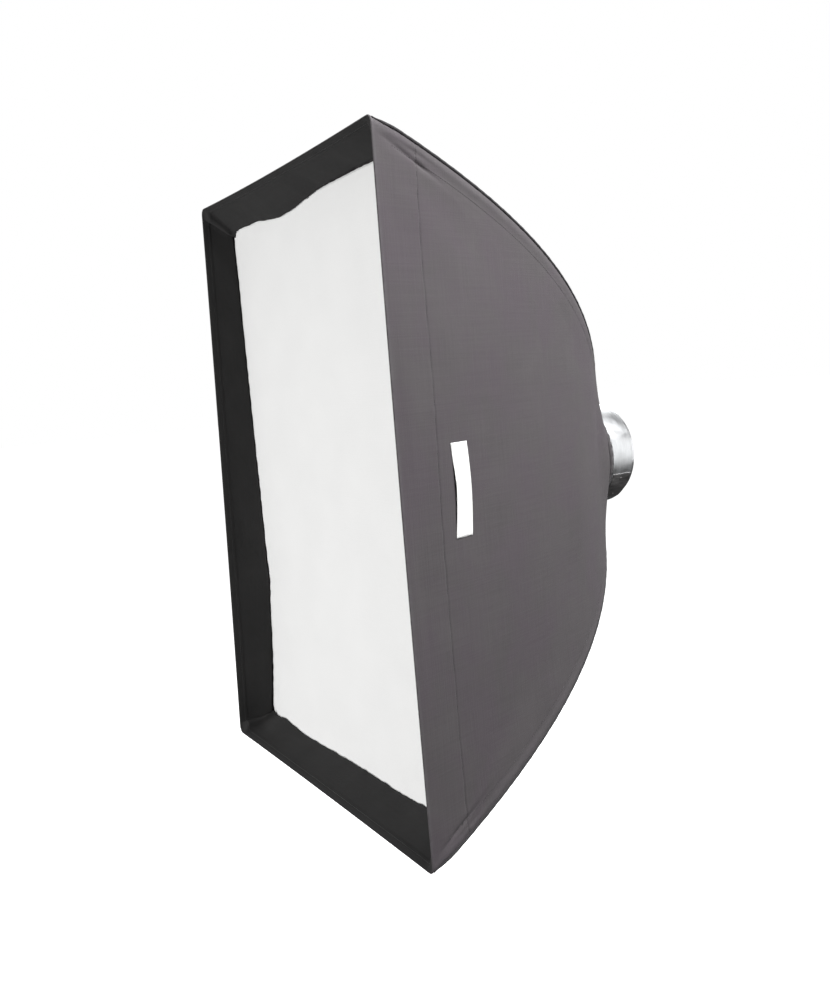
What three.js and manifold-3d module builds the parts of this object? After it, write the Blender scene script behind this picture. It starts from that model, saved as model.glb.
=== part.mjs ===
// Rectangular recessed softbox on a rotating speedring.
// Millimetres, +Z up. The origin is the centre of the adapter's rear face, where it seats on a
// flash head. +Y is the optical axis out of the back, so the white front faces -Y, and +X is on
// the right of someone who stands in front of the box.
import * as THREE from "three";
import { mergeVertices } from "three/addons/utils/BufferGeometryUtils.js";
import Module from "manifold-3d";

const wasm = await Module();
wasm.setup();

// ---------------------------------------------------------------- driving dimensions
const FRONT_WIDTH = 600;
const FRONT_HEIGHT = 900;
const BOX_DEPTH = 585; // front edge to the adapter's rear face
const HOOD_RECESS = 59; // front edge back to the front diffuser
const SHELL_DEPTH = 522; // front edge back to the fabric's round back opening
const BACK_RADIUS = 86; // corner seams end on this radius
const PANEL_SAG = 3; // each panel's middle is drawn in between its two rods

const PANEL_THICKNESS = 1.2;
const LINING_OFFSET = 2.0; // outside of the shell to the outside of what is sewn inside it
const LINING_THICKNESS = 0.8;
const SEAM_MARGIN = 5; // each panel stops this far from its corner seams
const PIPING_RADIUS = 3;

const ROD_RADIUS = 3;
const ROD_INSET_FRONT = 14; // corner seam to the rod's centre, at the front and at the back
const ROD_INSET_BACK = 8.5;
const ROD_FROM = 0.035; // shares of the corner seam where the rod begins and ends
const ROD_TO = 0.97;
const FERRULE_RADIUS = 3.6;
const FERRULE_LENGTH = 34;
const TIP_RADIUS = 4.3;
const POCKET_RADIUS = 6.1;
const TOUCH = 0.4; // gap kept between pieces that lie against each other

const RING_FRONT = 505; // the speedring's faces, back from the front edge
const RING_BACK = 527;
const RING_RADIUS = 80;
const RING_BORE = 58;
const RIM_BACK = 576;
const RIM_RADIUS = 84.5;
const RIM_BORE = 80.1;
const SPIGOT_RADIUS = 57.5;
const LIGHT_BORE = 54; // free radius through the adapter
const COLLAR_RADIUS = 79.5;
const COLLAR_WALL = 4;
const SEAT_BORE = 61; // where the adapter's rear face begins, clear of the bayonet
const LOCK_DEPTH = 556; // the lock screws' axes, back from the front edge
const LOCK_ANGLES = [150, 210]; // degrees round from +X, seen from the front

const BAFFLE_DEPTH = 262;
const BAFFLE_WIDTH = 350;
const BAFFLE_HEIGHT = 560;
const ROUND_SIDES = 48;

// ---------------------------------------------------------------- colours and finishes
const LOOKS = {
  shell_fabric: { color: 0x57545a, roughness: 0.85, metalness: 0 },
  silver_lining: { color: 0xc4c5c8, roughness: 0.35, metalness: 0.6 },
  black_fabric: { color: 0x2b2a2b, roughness: 0.9, metalness: 0 },
  white_fabric: { color: 0xededeb, roughness: 0.8, metalness: 0 },
  black_plastic: { color: 0x1d1d1f, roughness: 0.45, metalness: 0 },
  rod: { color: 0xd8d6cc, roughness: 0.4, metalness: 0 },
  steel: { color: 0xa9abae, roughness: 0.3, metalness: 1 },
  aluminium: { color: 0xc2c4c7, roughness: 0.35, metalness: 1 },
  label: { color: 0xf2f2f0, roughness: 0.6, metalness: 0 },
};

const softbox = new THREE.Group();

function add(name, look, geometry) {
  const mesh = new THREE.Mesh(geometry, new THREE.MeshStandardMaterial(LOOKS[look]));
  mesh.name = name;
  softbox.add(mesh);
  return mesh;
}

// ---------------------------------------------------------------- solids
function toSolid(geometry) {
  const bare = geometry.clone();
  bare.deleteAttribute("normal");
  bare.deleteAttribute("uv");
  const merged = mergeVertices(bare, 1e-3);
  return new wasm.Manifold(
    new wasm.Mesh({
      numProp: 3,
      vertProperties: new Float32Array(merged.attributes.position.array),
      triVerts: new Uint32Array(merged.index.array),
    }),
  );
}

function toGeometry(solid) {
  const mesh = solid.getMesh();
  const geometry = new THREE.BufferGeometry();
  geometry.setAttribute("position", new THREE.BufferAttribute(mesh.vertProperties, 3));
  geometry.setIndex(new THREE.BufferAttribute(mesh.triVerts, 1));
  geometry.computeVertexNormals();
  return geometry;
}

// A closed solid between two point grids of the same size: the faces, and walls round their edges.
// Each grid is a function of one row value and one column value.
function slab(rowValues, columnValues, outerPoint, innerPoint) {
  const positions = [];
  for (const point of [outerPoint, innerPoint])
    for (const row of rowValues)
      for (const column of columnValues) positions.push(...point(row, column).toArray());
  const rows = rowValues.length - 1;
  const columns = columnValues.length - 1;
  const across = columns + 1;
  const layer = (rows + 1) * across;
  const index = [];
  const quad = (a, b, c, d) => index.push(a, b, c, a, c, d);
  for (let i = 0; i < rows; i++)
    for (let j = 0; j < columns; j++) {
      const a = i * across + j;
      quad(a, a + 1, a + across + 1, a + across);
      quad(layer + a, layer + a + across, layer + a + across + 1, layer + a + 1);
    }
  for (let j = 0; j < columns; j++) {
    const last = rows * across + j;
    quad(j, layer + j, layer + j + 1, j + 1);
    quad(last, last + 1, layer + last + 1, layer + last);
  }
  for (let i = 0; i < rows; i++) {
    const a = i * across;
    const b = a + columns;
    quad(a, a + across, layer + a + across, layer + a);
    quad(b, layer + b, layer + b + across, b + across);
  }
  return facingOut(positions, index);
}

function facingOut(positions, index) {
  const corner = (i) => new THREE.Vector3().fromArray(positions, 3 * index[i]);
  let volume = 0;
  for (let i = 0; i < index.length; i += 3)
    volume += corner(i).dot(corner(i + 1).cross(corner(i + 2)));
  if (volume < 0)
    for (let i = 0; i < index.length; i += 3)
      [index[i + 1], index[i + 2]] = [index[i + 2], index[i + 1]];
  const geometry = new THREE.BufferGeometry();
  geometry.setAttribute("position", new THREE.Float32BufferAttribute(positions, 3));
  geometry.setIndex(index);
  geometry.computeVertexNormals();
  return geometry;
}

// A ring turned about the optical axis from [radius, depth] points, depth measured back from the front.
function turned(profile, sides = ROUND_SIDES) {
  const points = profile.map(([radius, depth]) => new THREE.Vector2(radius, depth - BOX_DEPTH));
  points.push(points[0].clone());
  const geometry = new THREE.LatheGeometry(points, sides);
  if (toSolid(geometry).volume() > 0) return geometry;
  return new THREE.LatheGeometry(points.reverse(), sides);
}

// A turned piece about its own axis, which runs from a start point along a direction.
function turnedAlong(profile, start, direction, sides) {
  const points = profile.map(([radius, along]) => new THREE.Vector2(radius, along));
  const geometry = new THREE.LatheGeometry(points, sides);
  const turn = new THREE.Quaternion().setFromUnitVectors(new THREE.Vector3(0, 1, 0), direction);
  geometry.applyQuaternion(turn);
  geometry.translate(start.x, start.y, start.z);
  return geometry;
}

// A flat outline in the X-Z plane, given as a Shape in x and z, made thick from one depth to another.
function plate(shape, frontDepth, backDepth) {
  const geometry = new THREE.ExtrudeGeometry(shape, {
    depth: backDepth - frontDepth,
    bevelEnabled: false,
    curveSegments: 6,
  });
  geometry.rotateX(Math.PI / 2);
  geometry.translate(0, backDepth - BOX_DEPTH, 0);
  return geometry;
}

// ---------------------------------------------------------------- the shell's shape
// Each corner seam lies in a plane through the optical axis. In that plane it is one cubic curve of
// depth and distance from the axis: it leaves the front corner, bows out, and turns in to the ring.
const CORNER_REACH = Math.hypot(FRONT_WIDTH, FRONT_HEIGHT) / 2;
const CORNER_ANGLE = Math.atan2(FRONT_HEIGHT, FRONT_WIDTH);
const SEAM_CURVE = new THREE.CubicBezierCurve(
  new THREE.Vector2(0, CORNER_REACH),
  new THREE.Vector2(348, 395),
  new THREE.Vector2(490, 249),
  new THREE.Vector2(SHELL_DEPTH, BACK_RADIUS),
);
const ROUNDING_FROM = 0.72; // share of the seam after which the section goes from square to round

const SIDES = {
  right: { across: new THREE.Vector3(1, 0, 0), along: new THREE.Vector3(0, 0, 1) },
  left: { across: new THREE.Vector3(-1, 0, 0), along: new THREE.Vector3(0, 0, 1) },
  top: { across: new THREE.Vector3(0, 0, 1), along: new THREE.Vector3(1, 0, 0) },
  bottom: { across: new THREE.Vector3(0, 0, -1), along: new THREE.Vector3(1, 0, 0) },
};

const cornerAngleOf = (side) =>
  side.along.z === 1 ? CORNER_ANGLE : Math.PI / 2 - CORNER_ANGLE;

// The shell's outside on one side: t runs back along the seam, v runs from seam to seam as -1 to 1.
function shellPoint(side, t, v) {
  const seam = SEAM_CURVE.getPoint(t);
  const angle = cornerAngleOf(side);
  const roundness = Math.max(0, (t - ROUNDING_FROM) / (1 - ROUNDING_FROM)) ** 2;
  const flatOut = seam.y * Math.cos(angle) - PANEL_SAG * (1 - v * v);
  const flatAlong = seam.y * Math.sin(angle) * v;
  const out = THREE.MathUtils.lerp(flatOut, seam.y * Math.cos(angle * v), roundness);
  const along = THREE.MathUtils.lerp(flatAlong, seam.y * Math.sin(angle * v), roundness);
  return new THREE.Vector3(0, seam.x - BOX_DEPTH, 0)
    .addScaledVector(side.across, out)
    .addScaledVector(side.along, along);
}

// Every layer of the shell shares these stations, so that its facets lie parallel to its neighbours'.
const SEAM_STATIONS = Array.from({ length: 16 }, (_, i) => i / 15);
const ACROSS_STATIONS = [-1, -0.6, -0.3, 0, 0.3, 0.6, 1];

function bracket(stations, value) {
  let i = stations.findIndex((station) => station > value) - 1;
  if (i < 0) i = stations.length - 2;
  return [stations[i], stations[i + 1], (value - stations[i]) / (stations[i + 1] - stations[i])];
}

// The shell's outside as flat facets between the stations, moved inwards square to the shell.
function insidePoint(side, t, v, inset) {
  const [t0, t1, seamShare] = bracket(SEAM_STATIONS, t);
  const [v0, v1, acrossShare] = bracket(ACROSS_STATIONS, v);
  const seamLine = (at) => shellPoint(side, t0, at).lerp(shellPoint(side, t1, at), seamShare);
  const facet = seamLine(v0).lerp(seamLine(v1), acrossShare);
  const step = 1e-3;
  const alongSeam = shellPoint(side, t + step, v).sub(shellPoint(side, t - step, v));
  const across = shellPoint(side, t, v + step).sub(shellPoint(side, t, v - step));
  const inwards = alongSeam.cross(across).normalize();
  if (inwards.y > 0) inwards.negate();
  return facet.addScaledVector(inwards, inset);
}

// The share of the seam that lies at a given depth.
function shareAtDepth(depth) {
  let low = 0;
  let high = 1;
  for (let i = 0; i < 40; i++) {
    const middle = (low + high) / 2;
    if (SEAM_CURVE.getPoint(middle).x < depth) low = middle;
    else high = middle;
  }
  return low;
}

const halfWidthAt = (depth) => SEAM_CURVE.getPoint(shareAtDepth(depth)).y * Math.cos(CORNER_ANGLE);
const halfHeightAt = (depth) => SEAM_CURVE.getPoint(shareAtDepth(depth)).y * Math.sin(CORNER_ANGLE);

// A strip or panel that follows one side of the shell between two depths.
function followShell(side, { from, to, inset, thickness, margin }) {
  const first = shareAtDepth(from);
  const last = to >= SHELL_DEPTH ? 1 : shareAtDepth(to);
  const inBetween = SEAM_STATIONS.filter((t) => t > first + 0.01 && t < last - 0.01);
  const layer = (depthInside) => (t, v) => {
    const reach = SEAM_CURVE.getPoint(t).y * Math.sin(cornerAngleOf(side));
    const widest = 1 - margin / reach;
    return insidePoint(side, t, THREE.MathUtils.clamp(v, -widest, widest), depthInside);
  };
  const outside = layer(inset);
  return slab([first, ...inBetween, last], ACROSS_STATIONS, outside, layer(inset + thickness));
}

// ---------------------------------------------------------------- corners
const CORNERS = {
  top_right: [1, 1],
  top_left: [-1, 1],
  bottom_left: [-1, -1],
  bottom_right: [1, -1],
};

const outwardsAt = ([x, z]) =>
  new THREE.Vector3(x * Math.cos(CORNER_ANGLE), 0, z * Math.sin(CORNER_ANGLE));

// A curve that runs beside one corner seam, a given distance inside it.
class CornerCurve extends THREE.Curve {
  constructor(corner, insetAt, from, to) {
    super();
    Object.assign(this, { corner, insetAt, from, to });
  }
  getPoint(u, target = new THREE.Vector3()) {
    const t = THREE.MathUtils.lerp(this.from, this.to, u);
    const seam = SEAM_CURVE.getPoint(t);
    const tangent = SEAM_CURVE.getTangent(t);
    const inset = this.insetAt(t);
    const depth = seam.x + tangent.y * inset;
    const reach = seam.y - tangent.x * inset;
    return target.copy(outwardsAt(this.corner)).multiplyScalar(reach).setY(depth - BOX_DEPTH);
  }
}

const rodInset = (t) => THREE.MathUtils.lerp(ROD_INSET_FRONT, ROD_INSET_BACK, t);
const rodCurve = (corner) => new CornerCurve(corner, rodInset, ROD_FROM, ROD_TO);

function tube(curve, radius, sides, steps) {
  const section = new THREE.Shape();
  for (let i = 0; i < sides; i++) {
    const angle = (2 * Math.PI * i) / sides;
    const [x, y] = [radius * Math.cos(angle), radius * Math.sin(angle)];
    if (i === 0) section.moveTo(x, y);
    else section.lineTo(x, y);
  }
  return new THREE.ExtrudeGeometry(section, { extrudePath: curve, steps });
}

// ---------------------------------------------------------------- fabric shell
function addShell() {
  const outer = { inset: 0, thickness: PANEL_THICKNESS, margin: SEAM_MARGIN };
  const sewnIn = { inset: LINING_OFFSET, thickness: LINING_THICKNESS };
  for (const [name, side] of Object.entries(SIDES)) {
    const panel = { ...outer, from: 5, to: SHELL_DEPTH };
    const lining = { ...sewnIn, margin: 12, from: 93, to: SHELL_DEPTH };
    const facing = { ...sewnIn, margin: 24, from: 6, to: 62 };
    const tape = { ...sewnIn, margin: 24, from: 63, to: 92 };
    add(`shell_panel_${name}`, "shell_fabric", followShell(side, panel));
    add(`lining_${name}`, "silver_lining", followShell(side, lining));
    add(`hood_facing_${name}`, "black_fabric", followShell(side, facing));
    add(`loop_tape_${name}`, "black_fabric", followShell(side, tape));
  }
  addFrontHem();
  addBackCuff();
  addLabel();
}

function rectangle(halfWidth, halfHeight, chamfer) {
  const shape = new THREE.Shape();
  shape.moveTo(halfWidth, -halfHeight + chamfer);
  shape.lineTo(halfWidth, halfHeight - chamfer);
  shape.lineTo(halfWidth - chamfer, halfHeight);
  shape.lineTo(-halfWidth + chamfer, halfHeight);
  shape.lineTo(-halfWidth, halfHeight - chamfer);
  shape.lineTo(-halfWidth, -halfHeight + chamfer);
  shape.lineTo(-halfWidth + chamfer, -halfHeight);
  shape.lineTo(halfWidth - chamfer, -halfHeight);
  shape.closePath();
  return shape;
}

// The folded front edge that joins the outer fabric to the hood's facing.
function addFrontHem() {
  const hemWidth = 6;
  const outline = rectangle(FRONT_WIDTH / 2, FRONT_HEIGHT / 2, 6);
  outline.holes.push(rectangle(FRONT_WIDTH / 2 - hemWidth, FRONT_HEIGHT / 2 - hemWidth, 4));
  add("front_hem", "black_fabric", plate(outline, 0, 4));
}

// The gathered cuff that closes the shell's back opening round the speedring's rim.
function addBackCuff() {
  add(
    "back_cuff",
    "black_fabric",
    turned([
      [RIM_RADIUS + 0.8, 525],
      [RIM_RADIUS + 0.8, 530],
      [88, 530],
      [90.4, 528.4],
      [91.4, 526],
      [90.4, 524],
      [88.4, 525],
    ]),
  );
}

// A blank woven label, sewn to the right-hand panel just behind the diffuser's seam.
function addLabel() {
  const [from, to, low, high] = [87.5, 117, -50, 69];
  const layer = (standing) => (depth, height) => {
    const t = shareAtDepth(depth);
    const reach = SEAM_CURVE.getPoint(t).y * Math.sin(CORNER_ANGLE);
    return insidePoint(SIDES.right, t, height / reach, -standing);
  };
  const depths = [from, (from + to) / 2, to];
  add("side_label", "label", slab(depths, [low, 0, high], layer(1.2), layer(TOUCH)));
}

// ---------------------------------------------------------------- rods and what holds them
function addCorner(name, corner) {
  const piping = new CornerCurve(corner, () => -1, 0.012, 0.975);
  add(`seam_piping_${name}`, "black_fabric", tube(piping, PIPING_RADIUS, 6, 16));

  const rod = rodCurve(corner);
  add(`rod_${name}`, "rod", tube(rod, ROD_RADIUS, 8, 16));

  const backwards = rod.getTangent(1);
  const ferruleStart = rod.getPoint(1).addScaledVector(backwards, TOUCH);
  const pin = [
    [0, 0],
    [FERRULE_RADIUS, 0],
    [FERRULE_RADIUS, FERRULE_LENGTH - 2],
    [FERRULE_RADIUS - 1.2, FERRULE_LENGTH],
    [0, FERRULE_LENGTH],
  ];
  add(`rod_ferrule_${name}`, "steel", turnedAlong(pin, ferruleStart, backwards, 12));

  const forwards = rod.getTangent(0).negate();
  const tipStart = rod.getPoint(0).addScaledVector(forwards, TOUCH);
  const tip = [
    [0, 0],
    [TIP_RADIUS, 0],
    [TIP_RADIUS, 9],
    [TIP_RADIUS * 0.7, 12],
    [0, 13],
  ];
  add(`rod_tip_${name}`, "black_plastic", turnedAlong(tip, tipStart, forwards, 10));
  addPocket(name, rod.getPoint(0), forwards);
  addRodChannel(name, corner);
}

// A blind cup of webbing that catches the rod's front tip.
function addPocket(name, rodStart, forwards) {
  const mouth = -10;
  const floor = 14.5;
  const bore = TIP_RADIUS + 0.5;
  const cup = [
    [bore, mouth],
    [POCKET_RADIUS, mouth],
    [POCKET_RADIUS, floor],
    [POCKET_RADIUS * 0.6, floor + 2],
    [0, floor + 2],
    [0, floor],
    [bore, floor],
    [bore, mouth],
  ];
  add(`corner_pocket_${name}`, "black_fabric", turnedAlong(cup, rodStart, forwards, 12));
}

// The strip sewn across the corner, which keeps the rod against the seam.
function addRodChannel(name, corner) {
  const halfStrip = 7.5;
  const behindRod = ROD_RADIUS + 0.7;
  const acrossCorner = outwardsAt(corner).cross(new THREE.Vector3(0, 1, 0));
  const layer = (extra) => {
    const inset = (t) => rodInset(t) + behindRod + extra;
    const line = new CornerCurve(corner, inset, 0.075, 0.955);
    return (share, side) => line.getPoint(share).addScaledVector(acrossCorner, halfStrip * side);
  };
  const shares = Array.from({ length: 15 }, (_, i) => i / 14);
  add(`rod_channel_${name}`, "silver_lining", slab(shares, [-1, 1], layer(0), layer(0.9)));
}

// ---------------------------------------------------------------- diffusers
const WALL_INSET = 5; // wall to the front diffuser's edge
const DIFFUSER_CHAMFER = 21; // clears the rod channels

function addFrontDiffuser() {
  const front = HOOD_RECESS + 1;
  const width = halfWidthAt(front) - WALL_INSET - PANEL_SAG;
  const height = halfHeightAt(front) - WALL_INSET - PANEL_SAG;
  const sheet = rectangle(width, height, DIFFUSER_CHAMFER);
  add("front_diffuser", "white_fabric", plate(sheet, front, front + 1.6));

  const tapeFront = front + 2;
  const tapeBack = 91;
  const taper = (halfWidthAt(tapeFront) - halfWidthAt(tapeBack)) / (tapeBack - tapeFront);
  const taperHigh = (halfHeightAt(tapeFront) - halfHeightAt(tapeBack)) / (tapeBack - tapeFront);
  const cone = (inset) => {
    const edge = { chamfer: DIFFUSER_CHAMFER, from: tapeFront, to: tapeBack };
    return frustum(width - 2 - inset, height - 2 - inset, taper, taperHigh, edge);
  };
  add("diffuser_tape", "black_fabric", toGeometry(toSolid(cone(0)).subtract(toSolid(cone(1.5)))));
}

// A chamfered rectangle that narrows with depth by the two given slopes.
function frustum(halfWidth, halfHeight, taper, taperHigh, { chamfer, from, to }) {
  const reach = to - from;
  const geometry = plate(rectangle(halfWidth, halfHeight, chamfer), from, to);
  const positions = geometry.attributes.position;
  for (let i = 0; i < positions.count; i++) {
    const share = (positions.getY(i) + BOX_DEPTH - from) / reach;
    positions.setX(i, positions.getX(i) * (1 - (share * taper * reach) / halfWidth));
    positions.setZ(i, positions.getZ(i) * (1 - (share * taperHigh * reach) / halfHeight));
  }
  return geometry;
}

// The inner baffle hangs between four elastic straps, which hook on at the rod channels.
function addBaffle() {
  const sheet = rectangle(BAFFLE_WIDTH / 2, BAFFLE_HEIGHT / 2, 14);
  add("inner_baffle", "white_fabric", plate(sheet, BAFFLE_DEPTH, BAFFLE_DEPTH + 1.5));
  const strapFrom = new THREE.Vector2(BAFFLE_WIDTH / 2 - 5, BAFFLE_HEIGHT / 2 - 5);
  const channelInset = rodInset(0.4) + ROD_RADIUS + 8;
  const strapTo = new THREE.Vector2(
    halfWidthAt(BAFFLE_DEPTH) - channelInset * 1.1,
    halfHeightAt(BAFFLE_DEPTH) - channelInset * 1.2,
  );
  for (const [name, corner] of Object.entries(CORNERS)) {
    const start = new THREE.Vector3(strapFrom.x * corner[0], 0, strapFrom.y * corner[1]);
    const end = new THREE.Vector3(strapTo.x * corner[0], 0, strapTo.y * corner[1]);
    const direction = end.clone().sub(start).normalize();
    const sideways = new THREE.Vector3(0, 1, 0).cross(direction).multiplyScalar(8);
    const layer = (depth) => (share, side) => {
      const middle = start.clone().lerp(end, share);
      return middle.addScaledVector(sideways, side).setY(depth - BOX_DEPTH);
    };
    const near = BAFFLE_DEPTH + 1.5 + TOUCH;
    add(`baffle_strap_${name}`, "black_fabric", slab([0, 1], [-1, 1], layer(near), layer(near + 1)));
  }
}

// ---------------------------------------------------------------- speedring and adapter
function addSpeedring() {
  let ring = toSolid(
    turned([
      [RING_BORE, RING_FRONT],
      [RING_RADIUS, RING_FRONT],
      [RING_RADIUS, RING_BACK - 4],
      [RIM_RADIUS, RING_BACK],
      [RIM_RADIUS, RIM_BACK - 1],
      [RIM_RADIUS - 1, RIM_BACK],
      [RIM_BORE, RIM_BACK],
      [RIM_BORE, RING_BACK],
      [RING_BORE, RING_BACK],
    ]),
  );
  const socketRadius = FERRULE_RADIUS + TOUCH;
  for (const corner of Object.values(CORNERS)) {
    const rod = rodCurve(corner);
    const inwards = rod.getTangent(1);
    const along = (distance) => rod.getPoint(1).addScaledVector(inwards, distance);
    const boss = [
      [0, 0],
      [8.2, 0],
      [8.2, 20],
      [0, 20],
    ];
    const hole = [
      [0, 0],
      [socketRadius, 0],
      [socketRadius, FERRULE_LENGTH],
      [0, FERRULE_LENGTH],
    ];
    ring = ring.add(toSolid(turnedAlong(boss, along(15), inwards, 20)));
    ring = ring.subtract(toSolid(turnedAlong(hole, along(1.2), inwards, 16)));
  }
  for (const angle of LOCK_ANGLES) {
    const bore = [
      [0, 0],
      [3.4, 0],
      [3.4, 12],
      [0, 12],
    ];
    const { outwards, at } = lockAxis(angle);
    ring = ring.subtract(toSolid(turnedAlong(bore, at(RIM_BORE - 3), outwards, 16)));
  }
  add("speedring", "aluminium", toGeometry(ring));
}

function lockAxis(degrees) {
  const angle = THREE.MathUtils.degToRad(degrees);
  const outwards = new THREE.Vector3(Math.cos(angle), 0, Math.sin(angle));
  const at = (radius) => outwards.clone().multiplyScalar(radius).setY(LOCK_DEPTH - BOX_DEPTH);
  return { outwards, at };
}

// A lobed thumb knob on a stud that passes through the rim and bears on the adapter's collar.
function addLockScrew(name, degrees) {
  const { outwards, at } = lockAxis(degrees);
  const lobes = 8;
  const outline = new THREE.Shape();
  for (let i = 0; i < lobes * 4; i++) {
    const angle = (2 * Math.PI * i) / (lobes * 4);
    const radius = 8.6 + 0.8 * Math.cos(lobes * angle);
    const [x, y] = [radius * Math.cos(angle), radius * Math.sin(angle)];
    if (i === 0) outline.moveTo(x, y);
    else outline.lineTo(x, y);
  }
  const head = new THREE.ExtrudeGeometry(outline, { depth: 12, bevelEnabled: false });
  const turn = new THREE.Quaternion().setFromUnitVectors(new THREE.Vector3(0, 0, 1), outwards);
  head.applyQuaternion(turn);
  const base = at(RIM_RADIUS + 3);
  head.translate(base.x, base.y, base.z);
  const stud = [
    [0, 0],
    [3, 0],
    [3, 10],
    [0, 10],
  ];
  const shank = turnedAlong(stud, at(COLLAR_RADIUS + TOUCH), outwards, 12);
  const collar = [
    [0, 0],
    [5.5, 0],
    [5.5, 4],
    [0, 4],
  ];
  const washer = turnedAlong(collar, at(RIM_RADIUS + 0.6), outwards, 16);
  const solid = toSolid(head).add(toSolid(shank)).add(toSolid(washer));
  add(name, "black_plastic", toGeometry(solid));
}

// The insert that stays on the flash head: a collar inside the rim, a web, and a spigot through
// the speedring's bore, so the whole box turns round it.
function addAdapter() {
  const web = RING_BACK + 0.5;
  const spigotFront = RING_FRONT - 6;
  add(
    "adapter_collar",
    "aluminium",
    turned([
      [LIGHT_BORE, spigotFront],
      [SPIGOT_RADIUS, spigotFront],
      [SPIGOT_RADIUS, web],
      [COLLAR_RADIUS, web],
      [COLLAR_RADIUS, BOX_DEPTH - 1],
      [COLLAR_RADIUS - 1, BOX_DEPTH],
      [SEAT_BORE, BOX_DEPTH],
      [SEAT_BORE, BOX_DEPTH - 3],
      [COLLAR_RADIUS - COLLAR_WALL, BOX_DEPTH - 3],
      [COLLAR_RADIUS - COLLAR_WALL, web + 3],
      [LIGHT_BORE, web + 3],
    ]),
  );
  add(
    "retaining_ring",
    "steel",
    turned([
      [SPIGOT_RADIUS + TOUCH, RING_FRONT - 4.5],
      [66, RING_FRONT - 4.5],
      [66, RING_FRONT - 0.5],
      [SPIGOT_RADIUS + TOUCH, RING_FRONT - 0.5],
    ]),
  );
  [180, 300, 60].forEach((degrees, i) => addBayonetLug(`bayonet_lug_${i + 1}`, degrees));
}

function ringSector(inner, outer, centreDegrees, spreadDegrees, from, to) {
  const middle = THREE.MathUtils.degToRad(centreDegrees);
  const half = THREE.MathUtils.degToRad(spreadDegrees) / 2;
  const shape = new THREE.Shape();
  shape.absarc(0, 0, outer, middle - half, middle + half, false);
  shape.absarc(0, 0, inner, middle + half, middle - half, true);
  shape.closePath();
  return plate(shape, from, to);
}

// A hooked lug that stands out of the rear face and turns behind the flash head's front plate.
function addBayonetLug(name, degrees) {
  const foot = BOX_DEPTH + TOUCH;
  const stem = ringSector(62.5, 65.5, degrees, 22, foot, BOX_DEPTH + 8);
  const hook = ringSector(62.5, 69.5, degrees, 22, BOX_DEPTH + 5.5, BOX_DEPTH + 8);
  add(name, "steel", toGeometry(toSolid(stem).add(toSolid(hook))));
}

// ---------------------------------------------------------------- assembly
addAdapter();
addSpeedring();
LOCK_ANGLES.forEach((degrees, i) => addLockScrew(`lock_screw_${i + 1}`, degrees));
addShell();
for (const [name, corner] of Object.entries(CORNERS)) addCorner(name, corner);
addBaffle();
addFrontDiffuser();

export default softbox;
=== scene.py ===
"""Rectangular recessed softbox: the visual model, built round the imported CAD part.

Metres, in the CAD frame: +Y is the optical axis out of the back, the white front faces -Y.
"""

import math

import bmesh
import bpy
import numpy as np
from mathutils import Matrix, Vector


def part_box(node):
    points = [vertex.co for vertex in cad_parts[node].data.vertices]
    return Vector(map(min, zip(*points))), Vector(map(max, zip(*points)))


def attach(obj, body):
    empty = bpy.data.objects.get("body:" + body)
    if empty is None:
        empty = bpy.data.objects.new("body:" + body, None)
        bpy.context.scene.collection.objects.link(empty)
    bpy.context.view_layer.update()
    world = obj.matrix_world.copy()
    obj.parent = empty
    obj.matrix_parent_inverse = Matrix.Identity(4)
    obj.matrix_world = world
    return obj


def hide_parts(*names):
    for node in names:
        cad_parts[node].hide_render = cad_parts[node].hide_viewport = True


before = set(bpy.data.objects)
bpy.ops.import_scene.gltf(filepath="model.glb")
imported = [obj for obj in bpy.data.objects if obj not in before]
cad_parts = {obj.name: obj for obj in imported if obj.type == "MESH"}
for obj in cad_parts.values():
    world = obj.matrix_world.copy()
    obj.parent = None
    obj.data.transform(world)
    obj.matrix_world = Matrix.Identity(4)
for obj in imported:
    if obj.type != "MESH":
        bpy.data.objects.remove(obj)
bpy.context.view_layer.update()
MM = 0.001

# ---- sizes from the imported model
hem_low, hem_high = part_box("front_hem")
HALF_WIDTH, HALF_HEIGHT, FRONT_Y = hem_high.x, hem_high.z, hem_low.y
SHELL_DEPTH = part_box("shell_panel_right")[1].y - FRONT_Y
BACK_RADIUS = 86 * MM
RIM_BACK = (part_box("speedring")[1].y - FRONT_Y) / MM
ADAPTER_BACK = (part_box("adapter_collar")[1].y - FRONT_Y) / MM
RIM_RADIUS, RIM_BORE = 84.5, 80.1  # the speedring's outside and bore, in millimetres
COLLAR_RADIUS = 79.5  # the adapter's outside, in millimetres
PANEL_SAG = 3 * MM
ROUNDING_FROM = 0.72  # share of the seam after which the section goes from square to round
FOLD_RADIUS = 1.3 * MM  # how the fabric turns in at the front edge
CORNER_ROUND = 5 * MM  # radius over which two panels meet at a corner seam
FRONT_ROUND = 11 * MM  # the same at the front edge, where no rod stretches the cloth
SOFT_FRONT = 62 * MM  # how far back the loose front edge can give
SEAM_DEPTH = 65 * MM  # the sewn line round the box where the diffuser's tape is held
SLEEVE_WIDTH = 24 * MM  # corner seam to the row of stitches beside the rod

CORNER_REACH = math.hypot(HALF_WIDTH, HALF_HEIGHT)
CORNER_ANGLE = math.atan2(HALF_HEIGHT, HALF_WIDTH)
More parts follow.
